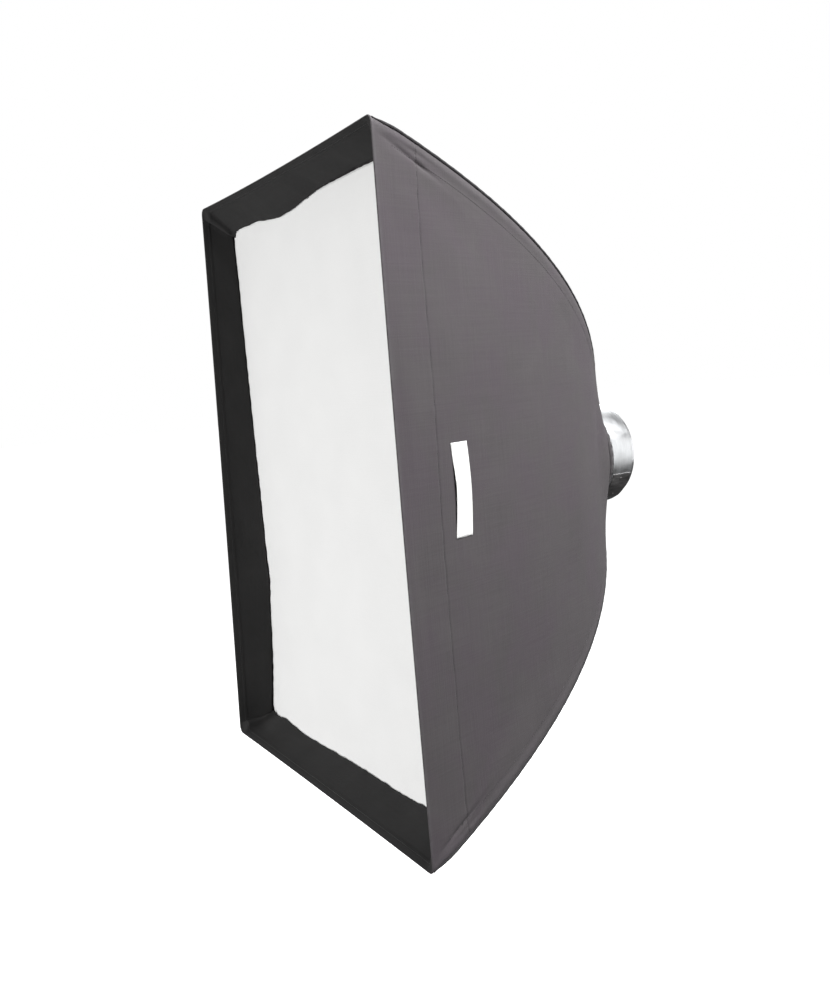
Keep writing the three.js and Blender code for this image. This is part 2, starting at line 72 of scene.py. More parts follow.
# The corner seam's Bezier points, as (depth back from the front, distance from the axis).
SEAM_CONTROL = np.array([(0, CORNER_REACH), (0.348, 0.395), (0.490, 0.249), (SHELL_DEPTH, BACK_RADIUS)])
X, Y, Z = np.eye(3)
SIDES = {
    "right": (X, Z, CORNER_ANGLE),
    "left": (-X, Z, CORNER_ANGLE),
    "top": (Z, X, math.pi / 2 - CORNER_ANGLE),
    "bottom": (-Z, X, math.pi / 2 - CORNER_ANGLE),
}
CORNERS = {"top_right": (1, 1), "top_left": (-1, 1), "bottom_left": (-1, -1), "bottom_right": (1, -1)}


def unit(vectors):
    return vectors / np.maximum(np.linalg.norm(vectors, axis=-1, keepdims=True), 1e-12)


def lerp(a, b, share):
    return a + (b - a) * share


def bell(x, centre, width):
    return np.exp(-(((x - centre) / width) ** 2))


def smooth(x, low, high):
    share = np.clip((x - low) / (high - low), 0, 1)
    return share * share * (3 - 2 * share)


# ---- the shell's surface
def seam(t):
    """Depth back from the front, and distance from the axis, along the corner seam."""
    t = np.asarray(t, float)[..., None]
    p0, p1, p2, p3 = SEAM_CONTROL
    point = (1 - t) ** 3 * p0 + 3 * (1 - t) ** 2 * t * p1 + 3 * (1 - t) * t**2 * p2 + t**3 * p3
    return point[..., 0], point[..., 1]


def seam_tangent(t):
    t = np.asarray(t, float)[..., None]
    p0, p1, p2, p3 = SEAM_CONTROL
    slope = 3 * (1 - t) ** 2 * (p1 - p0) + 6 * (1 - t) * t * (p2 - p1) + 3 * t**2 * (p3 - p2)
    slope = unit(slope)
    return slope[..., 0], slope[..., 1]


TABLE_T = np.linspace(0, 1, 2001)
TABLE_DEPTH, TABLE_REACH = seam(TABLE_T)
TABLE_LENGTH = np.concatenate([[0], np.cumsum(np.hypot(np.diff(TABLE_DEPTH), np.diff(TABLE_REACH)))])


def share_at_depth(depth):
    return np.interp(depth, TABLE_DEPTH, TABLE_T)


def share_at_length(length):
    return np.interp(length, TABLE_LENGTH, TABLE_T)


def length_at_share(t):
    return np.interp(t, TABLE_T, TABLE_LENGTH)


def corner_round(depth):
    return lerp(FRONT_ROUND, CORNER_ROUND, smooth(depth, 0, 45 * MM))


def half_width(depth):
    return np.interp(depth, TABLE_DEPTH, TABLE_REACH) * math.cos(CORNER_ANGLE)


def half_height(depth):
    return np.interp(depth, TABLE_DEPTH, TABLE_REACH) * math.sin(CORNER_ANGLE)


def shell(side, t, v):
    """The outside of one panel: t runs back along the seams, v from seam to seam as -1 to 1."""
    across, along, angle = SIDES[side]
    t, v = np.broadcast_arrays(np.asarray(t, float), np.asarray(v, float))
    depth, reach = seam(t)
    half = reach * math.sin(angle)
    roundness = np.clip((t - ROUNDING_FROM) / (1 - ROUNDING_FROM), 0, None) ** 2
    from_seam = (1 - np.abs(v)) * half
    radius = corner_round(depth)
    turn = np.clip(1 - from_seam / radius, 0, 1) * math.pi / 4
    drawn_in = radius * (1 - np.cos(turn))
    shifted = radius * (np.sin(turn) - turn / (math.pi / 4))
    flat_out = reach * math.cos(angle) - PANEL_SAG * (1 - v * v) - drawn_in
    flat_along = half * v + np.sign(v) * shifted
    out = lerp(flat_out, reach * np.cos(angle * v), roundness)
    beside = lerp(flat_along, reach * np.sin(angle * v), roundness)
    return out[..., None] * across + beside[..., None] * along + (depth + FRONT_Y)[..., None] * Y


def shell_normal(side, t, v):
    step = 1e-4
    t, v = np.broadcast_arrays(np.asarray(t, float), np.asarray(v, float))
    t_low, t_high = np.clip(t - step, 0, 1), np.clip(t + step, 0, 1)
    v_low, v_high = np.clip(v - step, -1, 1), np.clip(v + step, -1, 1)
    along_seam = shell(side, t_high, v) - shell(side, t_low, v)
    across = shell(side, t, v_high) - shell(side, t, v_low)
    normal = unit(np.cross(along_seam, across))
    outwards = SIDES[side][0] + 0.4 * Y
    return normal * np.sign(normal @ outwards)[..., None]


def off_shell(side, t, v, distance):
    return shell(side, t, v) + shell_normal(side, t, v) * np.asarray(distance)[..., None]


def reach_of(side, t):
    """Half the panel's width across, from its middle to either seam."""
    return seam(t)[1] * math.sin(SIDES[side][2])


def outwards_at(corner):
    return np.array([corner[0] * math.cos(CORNER_ANGLE), 0, corner[1] * math.sin(CORNER_ANGLE)])


def corner_line(corner, inset, t):
    """Points beside one corner seam, a given distance inside it."""
    t = np.asarray(t, float)
    depth, reach = seam(t)
    along_depth, along_reach = seam_tangent(t)
    depth = depth + along_reach * inset
    reach = reach - along_depth * inset
    return reach[..., None] * outwards_at(corner) + (depth + FRONT_Y)[..., None] * Y


FRONT_LIFT, LIFT_LOSS = 14, 5  # millimetres up at mid height, and how much less at the top
FRONT_SWING = 12.5  # millimetres back at the top, and as much forward at the bottom


def settled(points):
    """The loose front edge gives a little on the left: up, and back at the top, forward below."""
    x, y, z = points.T
    left = np.clip((HALF_WIDTH - x) / (2 * HALF_WIDTH), 0, 1) ** 2
    give = left * (1 - smooth(y - FRONT_Y, 0, SOFT_FRONT))
    height = z / HALF_HEIGHT
    back = give * FRONT_SWING * MM * height
    up = give * (FRONT_LIFT - LIFT_LOSS * height) * MM
    return points + back[:, None] * Y + up[:, None] * Z


# ---- meshes
class Builder:
    """Gathers grids of points into one mesh, with UVs in metres."""

    def __init__(self):
        self.points, self.faces, self.uvs, self.count = [], [], [], 0

    def grid(self, points, uv=None, wrap=False, flip=False):
        rows, columns = points.shape[:2]
        i, j = np.meshgrid(
            np.arange(rows - 1), np.arange(columns if wrap else columns - 1), indexing="ij"
        )
        corner_i = np.stack([i, i, i + 1, i + 1], -1).reshape(-1, 4)
        corner_j = np.stack([j, j + 1, j + 1, j], -1).reshape(-1, 4)
        if flip:
            corner_i, corner_j = corner_i[:, ::-1], corner_j[:, ::-1]
        if uv is None:
            uv = measured_uv(points, wrap)
        self.faces.append(corner_i * columns + corner_j % columns + self.count)
        self.uvs.append(uv[corner_i, corner_j])
        self.points.append(points.reshape(-1, 3))
        self.count += rows * columns
        return self

    def object(self, name, material, soft=True):
        points = np.concatenate(self.points)
        if soft:
            points = settled(points)
        faces = np.concatenate(self.faces)
        mesh = bpy.data.meshes.new(name)
        mesh.from_pydata(points.tolist(), [], faces.tolist())
        layer = mesh.uv_layers.new(name="UVMap")
        layer.data.foreach_set("uv", np.concatenate(self.uvs).astype(np.float32).ravel())
        mesh.materials.append(material)
        work = bmesh.new()
        work.from_mesh(mesh)
        bmesh.ops.remove_doubles(work, verts=work.verts, dist=2e-6)
        bmesh.ops.dissolve_degenerate(work, edges=work.edges, dist=1e-6)
        for face in work.faces:
            face.smooth = True
        work.to_mesh(mesh)
        work.free()
        piece = bpy.data.objects.new(name, mesh)
        bpy.context.scene.collection.objects.link(piece)
        return piece

    def piece(self, name, slot, body, *nodes, look=None, crisp=None, thick=None):
        """One finished piece. thick is (thickness, offset); the look is the slot's by default."""
        made = self.object(name, LOOKS[look or slot])
        if thick:
            solid = made.modifiers.new("thickness", "SOLIDIFY")
            solid.thickness, solid.offset = thick
        return finished(made, body, slot, *nodes, crisp=crisp)


def measured_uv(points, wrap=False):
    """UVs that follow the real lengths of a grid, columns along U and rows along V."""
    ring = np.concatenate([points, points[:, :1]], 1) if wrap else points
    across = np.linalg.norm(np.diff(ring, axis=1), axis=-1)
    down = np.linalg.norm(np.diff(ring, axis=0), axis=-1)
    u = np.concatenate([np.zeros((len(ring), 1)), np.cumsum(across, 1)], 1)
    middle = u.mean(1, keepdims=True) if not wrap else 0
    v = np.concatenate([[0], np.cumsum(down.mean(1))])[:, None] + 0 * u
    return np.stack([u - middle, v], -1)


def finished(piece, body, slot, *nodes, crisp=None):
    """Puts a piece on its CAD body, and hides the CAD nodes it stands for; slot is not used."""
    if crisp:
        piece.data.set_sharp_from_angle(angle=math.radians(crisp))
    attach(piece, body)
    if nodes:
        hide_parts(*nodes)
    return piece


def circle(sides):
    """Angles evenly round a circle, without the last."""
    return np.linspace(0, 2 * math.pi, sides, endpoint=False)


def spoke(angle):
    """The way out from the optical axis at an angle from +X."""
    return np.array([math.cos(angle), 0, math.sin(angle)])


def turned(profile, start, direction, sides):
    """A lathe from a profile in millimetres."""
    return lathe(np.array(profile) * MM, start, direction, sides)


def tube(path, radius, side_axis, sides=16, flatten=1.0):
    """A grid of rings along a path. side_axis is square to the path's plane, flatten its share."""
    tangent = unit(np.gradient(path, axis=0))
    side_axis = unit(np.broadcast_to(side_axis, path.shape))
    normal = unit(np.cross(tangent, side_axis))
    angle = circle(sides)
    radius = np.broadcast_to(np.asarray(radius, float).reshape(-1, 1, 1), (len(path), sides, 1))
    ring = normal[:, None] * np.cos(angle)[None, :, None]
    ring = ring + flatten * side_axis[:, None] * np.sin(angle)[None, :, None]
    return path[:, None] + radius * ring


def capped(path, radius, side_axis, sides=16, flatten=1.0):
    """A tube that closes to a point at both ends."""
    radius = np.broadcast_to(np.asarray(radius, float), (len(path),)).copy()
    body = tube(path, radius, side_axis, sides, flatten)
    first = np.broadcast_to(path[0], (1, sides, 3))
    last = np.broadcast_to(path[-1], (1, sides, 3))
    return np.concatenate([first, body, last])


def lathe(profile, start, direction, sides):
    """A turned grid from (radius, distance along the axis) points."""
    direction = unit(np.asarray(direction, float))
    helper = X if abs(direction @ X) < 0.9 else Z
    first = unit(np.cross(direction, helper))
    second = np.cross(direction, first)
    angle = circle(sides)
    spokes = first * np.cos(angle)[:, None] + second * np.sin(angle)[:, None]
    radius, along = np.asarray(profile, float).T
    return start + radius[:, None, None] * spokes + (along[:, None] * direction)[:, None]


def rounded(profile, radius, steps=4):
    """Rounds the corners of a closed (radius, depth) outline."""
    points = np.asarray(profile, float)
    made = []
    for i, point in enumerate(points):
        before, after = points[i - 1] - point, points[(i + 1) % len(points)] - point
        cut = min(radius, np.linalg.norm(before) * 0.45, np.linalg.norm(after) * 0.45)
        a, b = point + unit(before) * cut, point + unit(after) * cut
        for share in np.linspace(0, 1, steps):
            made.append(lerp(lerp(a, point, share), lerp(point, b, share), share))
    made.append(made[0])
    return np.array(made)


def ring_body(builder, profile, sides=144, bevel=0.7 * MM):
    """A ring turned about the optical axis from (radius, depth back from the front) points."""
    outline = rounded(np.array(profile) * MM, bevel)
    outline[:, 1] += FRONT_Y
    builder.grid(lathe(outline, np.zeros(3), Y, sides), wrap=True)
    return builder


# One stitch: where its rings lie along it, how thick each is and how high it stands.
STITCH_ALONG = np.array([-0.5, -0.46, -0.25, 0, 0.25, 0.46, 0.5])
STITCH_THICK = np.array([0.15, 0.7, 1.0, 1.0, 1.0, 0.7, 0.15])
STITCH_HIGH = np.array([-1.4, -0.5, 0.5, 0.75, 0.5, -0.5, -1.4])


def sew(builder, path, normals, pitch=4 * MM, length=2.9 * MM, thread=0.28 * MM):
    """A row of raised lockstitches along a path on a surface."""
    steps = np.linalg.norm(np.diff(path, axis=0), axis=1)
    run = np.concatenate([[0], np.cumsum(steps)])
    count = int(run[-1] / pitch)
    if count < 1:
        return
    middle = (np.arange(count) + 0.5) * run[-1] / count

    def at(values, where):
        return np.stack([np.interp(where, run, column) for column in values.T], -1)

    centre, normal = at(path, middle), unit(at(normals, middle))
    along = unit(at(path, middle + 0.2 * MM) - at(path, middle - 0.2 * MM))
    beside = unit(np.cross(normal, along))
    angle = circle(6)
    for i in range(count):
        spine = centre[i] + STITCH_ALONG[:, None] * length * along[i]
        spine = spine + STITCH_HIGH[:, None] * thread * normal[i]
        ring = np.cos(angle)[:, None] * beside[i] + np.sin(angle)[:, None] * normal[i]
        builder.grid(spine[:, None] + STITCH_THICK[:, None, None] * thread * ring, wrap=True)


# ---- materials
class Nodes:
    """Short names for making and joining the nodes of one tree."""

    def __init__(self, tree):
        self.tree = tree
        tree.nodes.clear()

    def put(self, socket, value):
        if isinstance(value, bpy.types.NodeSocket):
            self.tree.links.new(value, socket)
        elif value is not None:
            socket.default_value = value

    def node(self, kind, inputs=None, **settings):
        """A node with these settings, and these values or links at its inputs."""
        made = self.tree.nodes.new("ShaderNode" + kind)
        for key, value in settings.items():
            setattr(made, key, value)
        for key, value in (inputs or {}).items():
            self.put(made.inputs[key], value)
        return made

    def math(self, operation, a, b=None):
        return self.node("Math", {0: a, 1: b}, operation=operation).outputs[0]

    def remap(self, value, low, high, to_low, to_high):
        inputs = {"Value": value, 1: low, 2: high, 3: to_low, 4: to_high}
        return self.node("MapRange", inputs).outputs["Result"]


class Shader(Nodes):
    """A Principled material and short names for the nodes that feed it."""

    def __init__(self, name, roughness=0.5, **constants):
        self.material = bpy.data.materials.new(name)
        self.material.use_nodes = True
        super().__init__(self.material.node_tree)
        self.surface = self.node("BsdfPrincipled", {"Roughness": roughness})
        self.node("OutputMaterial", {"Surface": self.surface.outputs[0]})
        for socket, value in constants.items():
            title = socket.replace("_", " ").title().replace("Ior", "IOR")
            self.surface.inputs[title].default_value = value

    def metres(self):
        """Where the point is on the object at rest, in metres."""
        return self.node("TexCoord").outputs["Object"]

    def cloth_uv(self):
        return self.node("UVMap", uv_map="UVMap").outputs[0]

    def stretched(self, vector, scale):
        return self.node("Mapping", {"Vector": vector, "Scale": scale}).outputs[0]

    def noise(self, vector, scale, detail=2.0, roughness=0.5, distortion=0.0):
        inputs = {"Vector": vector, "Scale": scale, "Detail": detail, "Roughness": roughness}
        return self.node("TexNoise", {**inputs, "Distortion": distortion}).outputs[0]

    def voronoi(self, vector, scale, randomness=1.0):
        inputs = {"Vector": vector, "Scale": scale, "Randomness": randomness}
        return self.node("TexVoronoi", inputs, feature="F1").outputs["Distance"]

    def mix(self, share, a, b):
        a, b = [(*value, 1) if isinstance(value, tuple) else value for value in (a, b)]
        return self.node("Mix", {0: share, 6: a, 7: b}, data_type="RGBA").outputs[2]

    def weave(self, vector, pitch):
        """Height of a plain weave, from 0 to 1, with threads this far apart."""
        made = self.node("SeparateXYZ", {0: vector})
        warp = self.math("SINE", self.math("MULTIPLY", made.outputs[0], math.pi / pitch))
        weft = self.math("SINE", self.math("MULTIPLY", made.outputs[1], math.pi / pitch))
        return self.remap(self.math("MULTIPLY", warp, weft), -1, 1, 0, 1)

    def attribute(self, name):
        return self.node("Attribute", attribute_name=name).outputs["Fac"]

    def colour(self, value):
        self.put(self.surface.inputs["Base Color"], value)
        return self

    def roughness(self, value):
        self.put(self.surface.inputs["Roughness"], value)
        return self

    def bump(self, *layers):
        """Each layer is (height, distance in metres, strength)."""
        normal = None
        for height, distance, strength in layers:
            inputs = {"Height": height, "Normal": normal, "Distance": distance, "Strength": strength}
            normal = self.node("Bump", inputs).outputs[0]
        self.put(self.surface.inputs["Normal"], normal)
        return self


def scaled(colour, factor):
    return tuple(min(1.0, c * factor) for c in colour)


def cloth(name, colour, pitch, roughness=0.75, sheen=0.2, mottle=0.12, streaks=0.1, crush=0.3,
          weave_depth=0.12 * MM, worn=None, gloss=0.2, tinge=None):
    """Woven cloth: threads with painted shade between them, slubs along both ways, faint clouding, and soft
    creases.
    """
    s = Shader(name, roughness, sheen_weight=sheen, sheen_roughness=0.45, specular_ior_level=gloss)
    uv, place = s.cloth_uv(), s.metres()
    weave = s.weave(uv, pitch)
    warp = s.noise(s.stretched(uv, (1 / (2.5 * pitch), 9, 1)), 1.0, 3)
    weft = s.noise(s.stretched(uv, (9, 1 / (2.5 * pitch), 1)), 1.0, 3)
    slubs = s.math("ADD", warp, weft)
    clouds = s.noise(place, 14, 4, 0.55)
    tone = s.mix(s.remap(clouds, 0.3, 0.7, 0, 1), scaled(colour, 1 - mottle), scaled(colour, 1 + mottle))
    if tinge:
        patches = s.noise(place, 11, 4, 0.6, 0.5)
        tone = s.mix(s.remap(patches, 0.42, 0.62, 0, 1), tone, tinge)
    slubbed = s.math("MULTIPLY", s.remap(slubs, 0.8, 1.2, 0, 1), streaks * 3)
    tone = s.mix(slubbed, tone, scaled(colour, 1.3))
    # painted shade: darker in the low places between the threads
    tone = s.mix(s.math("MULTIPLY", s.remap(weave, 0.0, 0.45, 1, 0), 0.3), tone, scaled(colour, 0.55))
    if worn:
        scuffs = s.remap(s.noise(place, 90, 5, 0.7), 0.35, 0.75, 0.2, 1)
        share = s.math("MULTIPLY", s.attribute("wear"), scuffs)
        tone = s.mix(share, tone, worn)
    s.colour(tone)
    rough = s.remap(clouds, 0.3, 0.7, roughness - 0.07, roughness + 0.07)
    s.roughness(s.math("ADD", rough, s.remap(weave, 0, 1, 0.06, -0.02)))
    creases = s.noise(place, 38, 3, 0.5, 0.4)
    s.bump((creases, 2.2 * MM, crush), (slubs, 0.25 * MM, 0.5), (weave, weave_depth, 0.6))
    return s.material


def metal(name, colour, roughness, brushed, scratch=0.25):
    """Metal with fine lines along one way, faint smudges and darker grime."""
    s = Shader(name, roughness, metallic=1.0)
    place = s.metres()
    lines = s.noise(s.stretched(place, brushed), 1.0, 3, 0.6)
    smudges = s.noise(place, 45, 4, 0.6)
    grime = s.noise(place, 120, 6, 0.75)
    tone = s.mix(s.remap(lines, 0.3, 0.7, 0, 1), scaled(colour, 0.82), scaled(colour, 1.08))
    tone = s.mix(s.remap(grime, 0.58, 0.8, 0, 0.45), tone, scaled(colour, 0.42))
    s.colour(tone)
    rough = s.remap(smudges, 0.3, 0.7, roughness - 0.07, roughness + 0.12)
    s.roughness(s.math("ADD", rough, s.remap(lines, 0.3, 0.7, -0.05, 0.08)))
    s.bump((smudges, 0.3 * MM, 0.1), (lines, 0.06 * MM, scratch))
    return s.material


def plastic(name, colour, roughness=0.42):
    """Moulded plastic with a fine spark texture and handling marks."""
    s = Shader(name, roughness, specular_ior_level=0.45)
    place = s.metres()
    spark = s.voronoi(place, 900)
    marks = s.noise(place, 130, 5, 0.7)
    tone = s.mix(s.remap(marks, 0.45, 0.75, 0, 0.6), colour, scaled(colour, 2.2))
    s.colour(tone)
    s.roughness(s.remap(marks, 0.3, 0.7, roughness - 0.08, roughness + 0.16))
    s.bump((spark, 0.15 * MM, 0.25), (marks, 0.2 * MM, 0.12))
    return s.material


def pile(name, colour, spacing, height):
    """Hook or loop tape: a field of small tufts on a woven ground."""
    s = Shader(name, 0.9, sheen_weight=0.35, sheen_roughness=0.6, specular_ior_level=0.2)
    uv = s.cloth_uv()
    tufts = s.voronoi(uv, 1 / spacing, randomness=0.55)
    fuzz = s.noise(uv, 900, 4, 0.7)
    patches = s.noise(s.metres(), 40, 3)
    # painted highlight and shade: lighter on the tops of the tufts, darker on the ground between them
    tone = s.mix(s.remap(tufts, 0.15, 0.6, 0, 1), scaled(colour, 1.7), scaled(colour, 0.5))
    tone = s.mix(s.remap(patches, 0.35, 0.7, 0, 0.5), tone, scaled(colour, 1.35))
    s.colour(tone)
    s.roughness(s.remap(fuzz, 0.3, 0.7, 0.82, 0.98))
    s.bump((s.remap(tufts, 0, 0.6, 1, 0), height, 0.8), (fuzz, 0.3 * MM, 0.4))
    return s.material


def foil_cloth(name):
    """Silver-coated lining: a metallic skin with crumples over the woven threads."""
    s = Shader(name, 0.4, metallic=0.75, specular_ior_level=0.5)
    uv, place = s.cloth_uv(), s.metres()
    weave = s.weave(uv, 0.9 * MM)
    crumple = s.noise(place, 55, 5, 0.6, 0.7)
    cells = s.voronoi(place, 60)
    dull = s.noise(place, 9, 3)
    tone = s.mix(s.remap(dull, 0.3, 0.7, 0, 1), (0.50, 0.51, 0.52), (0.62, 0.63, 0.64))
    # painted shade: darker in the low places between the threads
    tone = s.mix(s.remap(weave, 0, 0.4, 0.35, 0), tone, (0.33, 0.34, 0.35))
    s.colour(tone)
    s.roughness(s.remap(crumple, 0.3, 0.7, 0.3, 0.52))
    s.bump((crumple, 2.5 * MM, 0.5), (cells, 1.2 * MM, 0.25), (weave, 0.12 * MM, 0.5))
    return s.material


def webbing(name, colour, rib):
    """Narrow woven strap or elastic with ribs along its length."""
    s = Shader(name, 0.8, sheen_weight=0.25, sheen_roughness=0.5, specular_ior_level=0.25)
    uv = s.cloth_uv()
    parts = s.node("SeparateXYZ", {0: uv})
    ribs = s.math("SINE", s.math("MULTIPLY", parts.outputs[0], 2 * math.pi / rib))
    picks = s.math("SINE", s.math("MULTIPLY", parts.outputs[1], 2 * math.pi / (0.6 * rib)))
    height = s.math("ADD", s.remap(ribs, -1, 1, 0, 1), s.remap(picks, -1, 1, 0, 0.35))
    fluff = s.noise(s.metres(), 300, 4, 0.7)
    # painted shade and highlight: darker in the low places between ribs and picks, lighter on their crests
    tone = s.mix(s.remap(height, 0, 1.2, 0, 1), scaled(colour, 0.6), scaled(colour, 1.3))
    s.colour(s.mix(s.remap(fluff, 0.5, 0.8, 0, 0.4), tone, scaled(colour, 1.8)))
    s.roughness(s.remap(fluff, 0.3, 0.7, 0.72, 0.9))
    s.bump((height, 0.3 * MM, 0.7), (fluff, 0.15 * MM, 0.4))
    return s.material


def fibreglass(name):
    """Pulled fibreglass rod: long fibres under a thin resin skin."""
    s = Shader(name, 0.38, specular_ior_level=0.5, coat_weight=0.25, coat_roughness=0.2)
    uv, place = s.cloth_uv(), s.metres()
    fibres = s.noise(s.stretched(uv, (2500, 14, 1)), 1.0, 3, 0.6)
    stains = s.noise(place, 22, 4, 0.6)
    tone = s.mix(s.remap(fibres, 0.35, 0.65, 0, 1), (0.50, 0.48, 0.40), (0.70, 0.69, 0.62))
    s.colour(s.mix(s.remap(stains, 0.5, 0.75, 0, 0.5), tone, (0.40, 0.36, 0.27)))
    s.roughness(s.remap(fibres, 0.3, 0.7, 0.3, 0.5))
    s.bump((fibres, 0.1 * MM, 0.4), (stains, 0.3 * MM, 0.1))
    return s.material


SHELL_TINT = (0.078, 0.0715, 0.0750)
# Painted shade: the hood's cloth is the shell's same black nylon at under half its lightness, darkened for
# the shade inside the hood.
HOOD_SHADED_TINT = (0.0340, 0.0334, 0.0334)
LOOKS = {
    "shell_fabric": cloth(
        "shell_fabric", SHELL_TINT, 0.8 * MM, 0.7, 0.06, 0.07, 0.10, 0.16,
        worn=(0.13, 0.122, 0.128), gloss=0.12, tinge=(0.0785, 0.0675, 0.0765),
    ),
    # painted shade: a darker copy of the shell cloth for the shaded inside of the hood
    "hood_fabric": cloth("hood_fabric", HOOD_SHADED_TINT, 0.8 * MM, 0.85, 0.04, 0.10, 0.08, 0.25, gloss=0.08),
    "silver_lining": foil_cloth("silver_lining"),
    "loop_tape": pile("loop_tape", (0.020, 0.020, 0.021), 1.1 * MM, 0.9 * MM),
    "hook_tape": pile("hook_tape", (0.022, 0.022, 0.023), 1.6 * MM, 1.0 * MM),
    "cuff_fabric": cloth("cuff_fabric", (0.075, 0.070, 0.073), 0.9 * MM, 0.75, 0.06, 0.12, gloss=0.12),
    "label_fabric": cloth(
        "label_fabric", (0.86, 0.86, 0.85), 0.5 * MM, 0.5, 0.1, 0.02, 0.02, 0.12, 0.06 * MM
    ),
    "piping_fabric": cloth("piping_fabric", (0.036, 0.034, 0.036), 0.8 * MM, 0.75, 0.06, 0.2),
    "rod_fibreglass": fibreglass("rod_fibreglass"),
    "ferrule_steel": metal("ferrule_steel", (0.52, 0.52, 0.53), 0.3, (900, 900, 60)),
    "dark_steel": metal("dark_steel", (0.47, 0.46, 0.46), 0.38, (300, 60, 300)),
    "spring_steel": metal("spring_steel", (0.50, 0.50, 0.51), 0.3, (300, 60, 300)),
    "lug_steel": metal("lug_steel", (0.56, 0.56, 0.57), 0.28, (60, 900, 60)),
    "ring_aluminium": metal("ring_aluminium", (0.60, 0.61, 0.62), 0.36, (40, 1400, 40)),
    "collar_aluminium": metal("collar_aluminium", (0.66, 0.67, 0.68), 0.27, (30, 1600, 30)),
    "knob_plastic": plastic("knob_plastic", (0.018, 0.018, 0.019)),
    "tip_plastic": plastic("tip_plastic", (0.020, 0.020, 0.021), 0.5),
    "pocket_webbing": webbing("pocket_webbing", (0.026, 0.026, 0.027), 1.6 * MM),
    "strap_elastic": webbing("strap_elastic", (0.030, 0.030, 0.031), 1.3 * MM),
    "baffle_fabric": cloth(
        "baffle_fabric", (0.78, 0.78, 0.77), 0.7 * MM, 0.7, 0.2, 0.02, 0.02, 0.2, 0.08 * MM
    ),
    "diffuser_fabric": cloth(
        "diffuser_fabric", (0.93, 0.93, 0.922), 0.7 * MM, 0.7, 0.2, 0.012, 0.012, 0.10, 0.08 * MM
    ),
    "sewing_thread": webbing("sewing_thread", (0.045, 0.043, 0.045), 0.5 * MM),
    "pale_thread": webbing("pale_thread", (0.62, 0.62, 0.61), 0.5 * MM),
}


# ---- outer panels
def panel_stations():
    """Lengths back along the seam: close together at the front fold and at the sewn line."""
    sewn = length_at_share(share_at_depth(SEAM_DEPTH))
    total = TABLE_LENGTH[-1]
    close = sewn + np.array([-9, -6, -4, -3, -2.2, -1.5, -0.9, -0.4, 0, 0.4, 0.9, 1.5, 2.2, 3, 4, 6, 9]) * MM
    front = np.array([FOLD_RADIUS, 3 * MM, 6 * MM])
    before = np.linspace(10 * MM, close[0], 11)[:-1]
    after = np.linspace(close[-1], total, 130)[1:]
    return np.concatenate([front, before, close, after])


def panel_columns(side, t):
    """Values of v from seam to seam: fixed distances near the seams, even ones between."""
    near = [0.2, 1, 2, 3, 4, 5, 7, 9, 11, 13, 15, 17, 19, 20.5, 22, 23, 24, 25, 26, 27.5, 29, 32, 36, 41]
    half = reach_of(side, t)[:, None]
    edge = 1 - (np.array(near) * MM)[None] / half
    middle = np.linspace(-1, 1, 58)[1:-1][None] * edge[:, -1:]
    return np.concatenate([-edge, middle, edge[:, ::-1]], 1)


def panel_relief(side, t, v):
    """How far the cloth stands off the plain shell: sleeve, creases, sewn line and soft waves."""
    half = reach_of(side, t)
    length = length_at_share(t)
    depth = seam(t)[0]
    from_seam = (1 - np.abs(v)) * half
    beside = v * half
    seed = list(SIDES).index(side) * 1.7
    held = smooth(length, 4 * MM, 30 * MM) * smooth(TABLE_LENGTH[-1] - length, 0, 40 * MM)
    strength = lerp(1.0, 0.35, smooth(length, 0.10, 0.45))
    fading = lerp(1.0, 0.10, smooth(length, 0.07, 0.19))
    ridge = 1.5 * MM * bell(from_seam, 11 * MM, 6.5 * MM)
    ripple = 1 + 0.35 * np.sin(length * 71 + seed + np.sign(v) * 2) + 0.2 * np.sin(length * 173)
    line = SLEEVE_WIDTH + 0.1 * (length - 0.06)
    near_front = bell(length, 62 * MM, 42 * MM)
    crease = 1.7 * MM * bell(from_seam, line, 2.8 * MM) * ripple * lerp(0.12, 1.0, near_front)
    crease = crease + 0.9 * MM * bell(from_seam, 14.5 * MM, 2.2 * MM) * bell(length, 74 * MM, 30 * MM)
    shoulder = 0.7 * MM * bell(from_seam, 34 * MM, 9 * MM)
    sewn = 0.5 * MM * bell(depth, SEAM_DEPTH, 1.5 * MM)
    pucker = 0.22 * MM * np.sin(beside * 2 * math.pi / 0.019 + np.sin(beside * 31)) * bell(
        depth, SEAM_DEPTH, 11 * MM
    )
    inner = smooth(from_seam, 26 * MM, 90 * MM)
    waves = 1.1 * MM * np.sin(beside * 9.3 + length * 4.1 + seed)
    waves = waves + 0.8 * MM * np.sin(beside * 17.7 - length * 11.9 + seed * 2)
    waves = waves + 0.45 * MM * np.sin(beside * 5.1 + length * 33 + seed) * smooth(length, 0.1, 0.5)
    drag_line = from_seam - 0.62 * length
    drag = 0.9 * MM * np.sin(drag_line * 46 + seed) * bell(from_seam, 70 * MM, 60 * MM)
    drag = drag * bell(length, 90 * MM, 110 * MM)
    quiet = smooth(from_seam, 2.5 * MM, 7 * MM)
    relief = (ridge * strength + shoulder * fading - crease) * quiet
    relief = relief + (pucker - sewn) * quiet + (waves + drag) * inner
    return relief * held


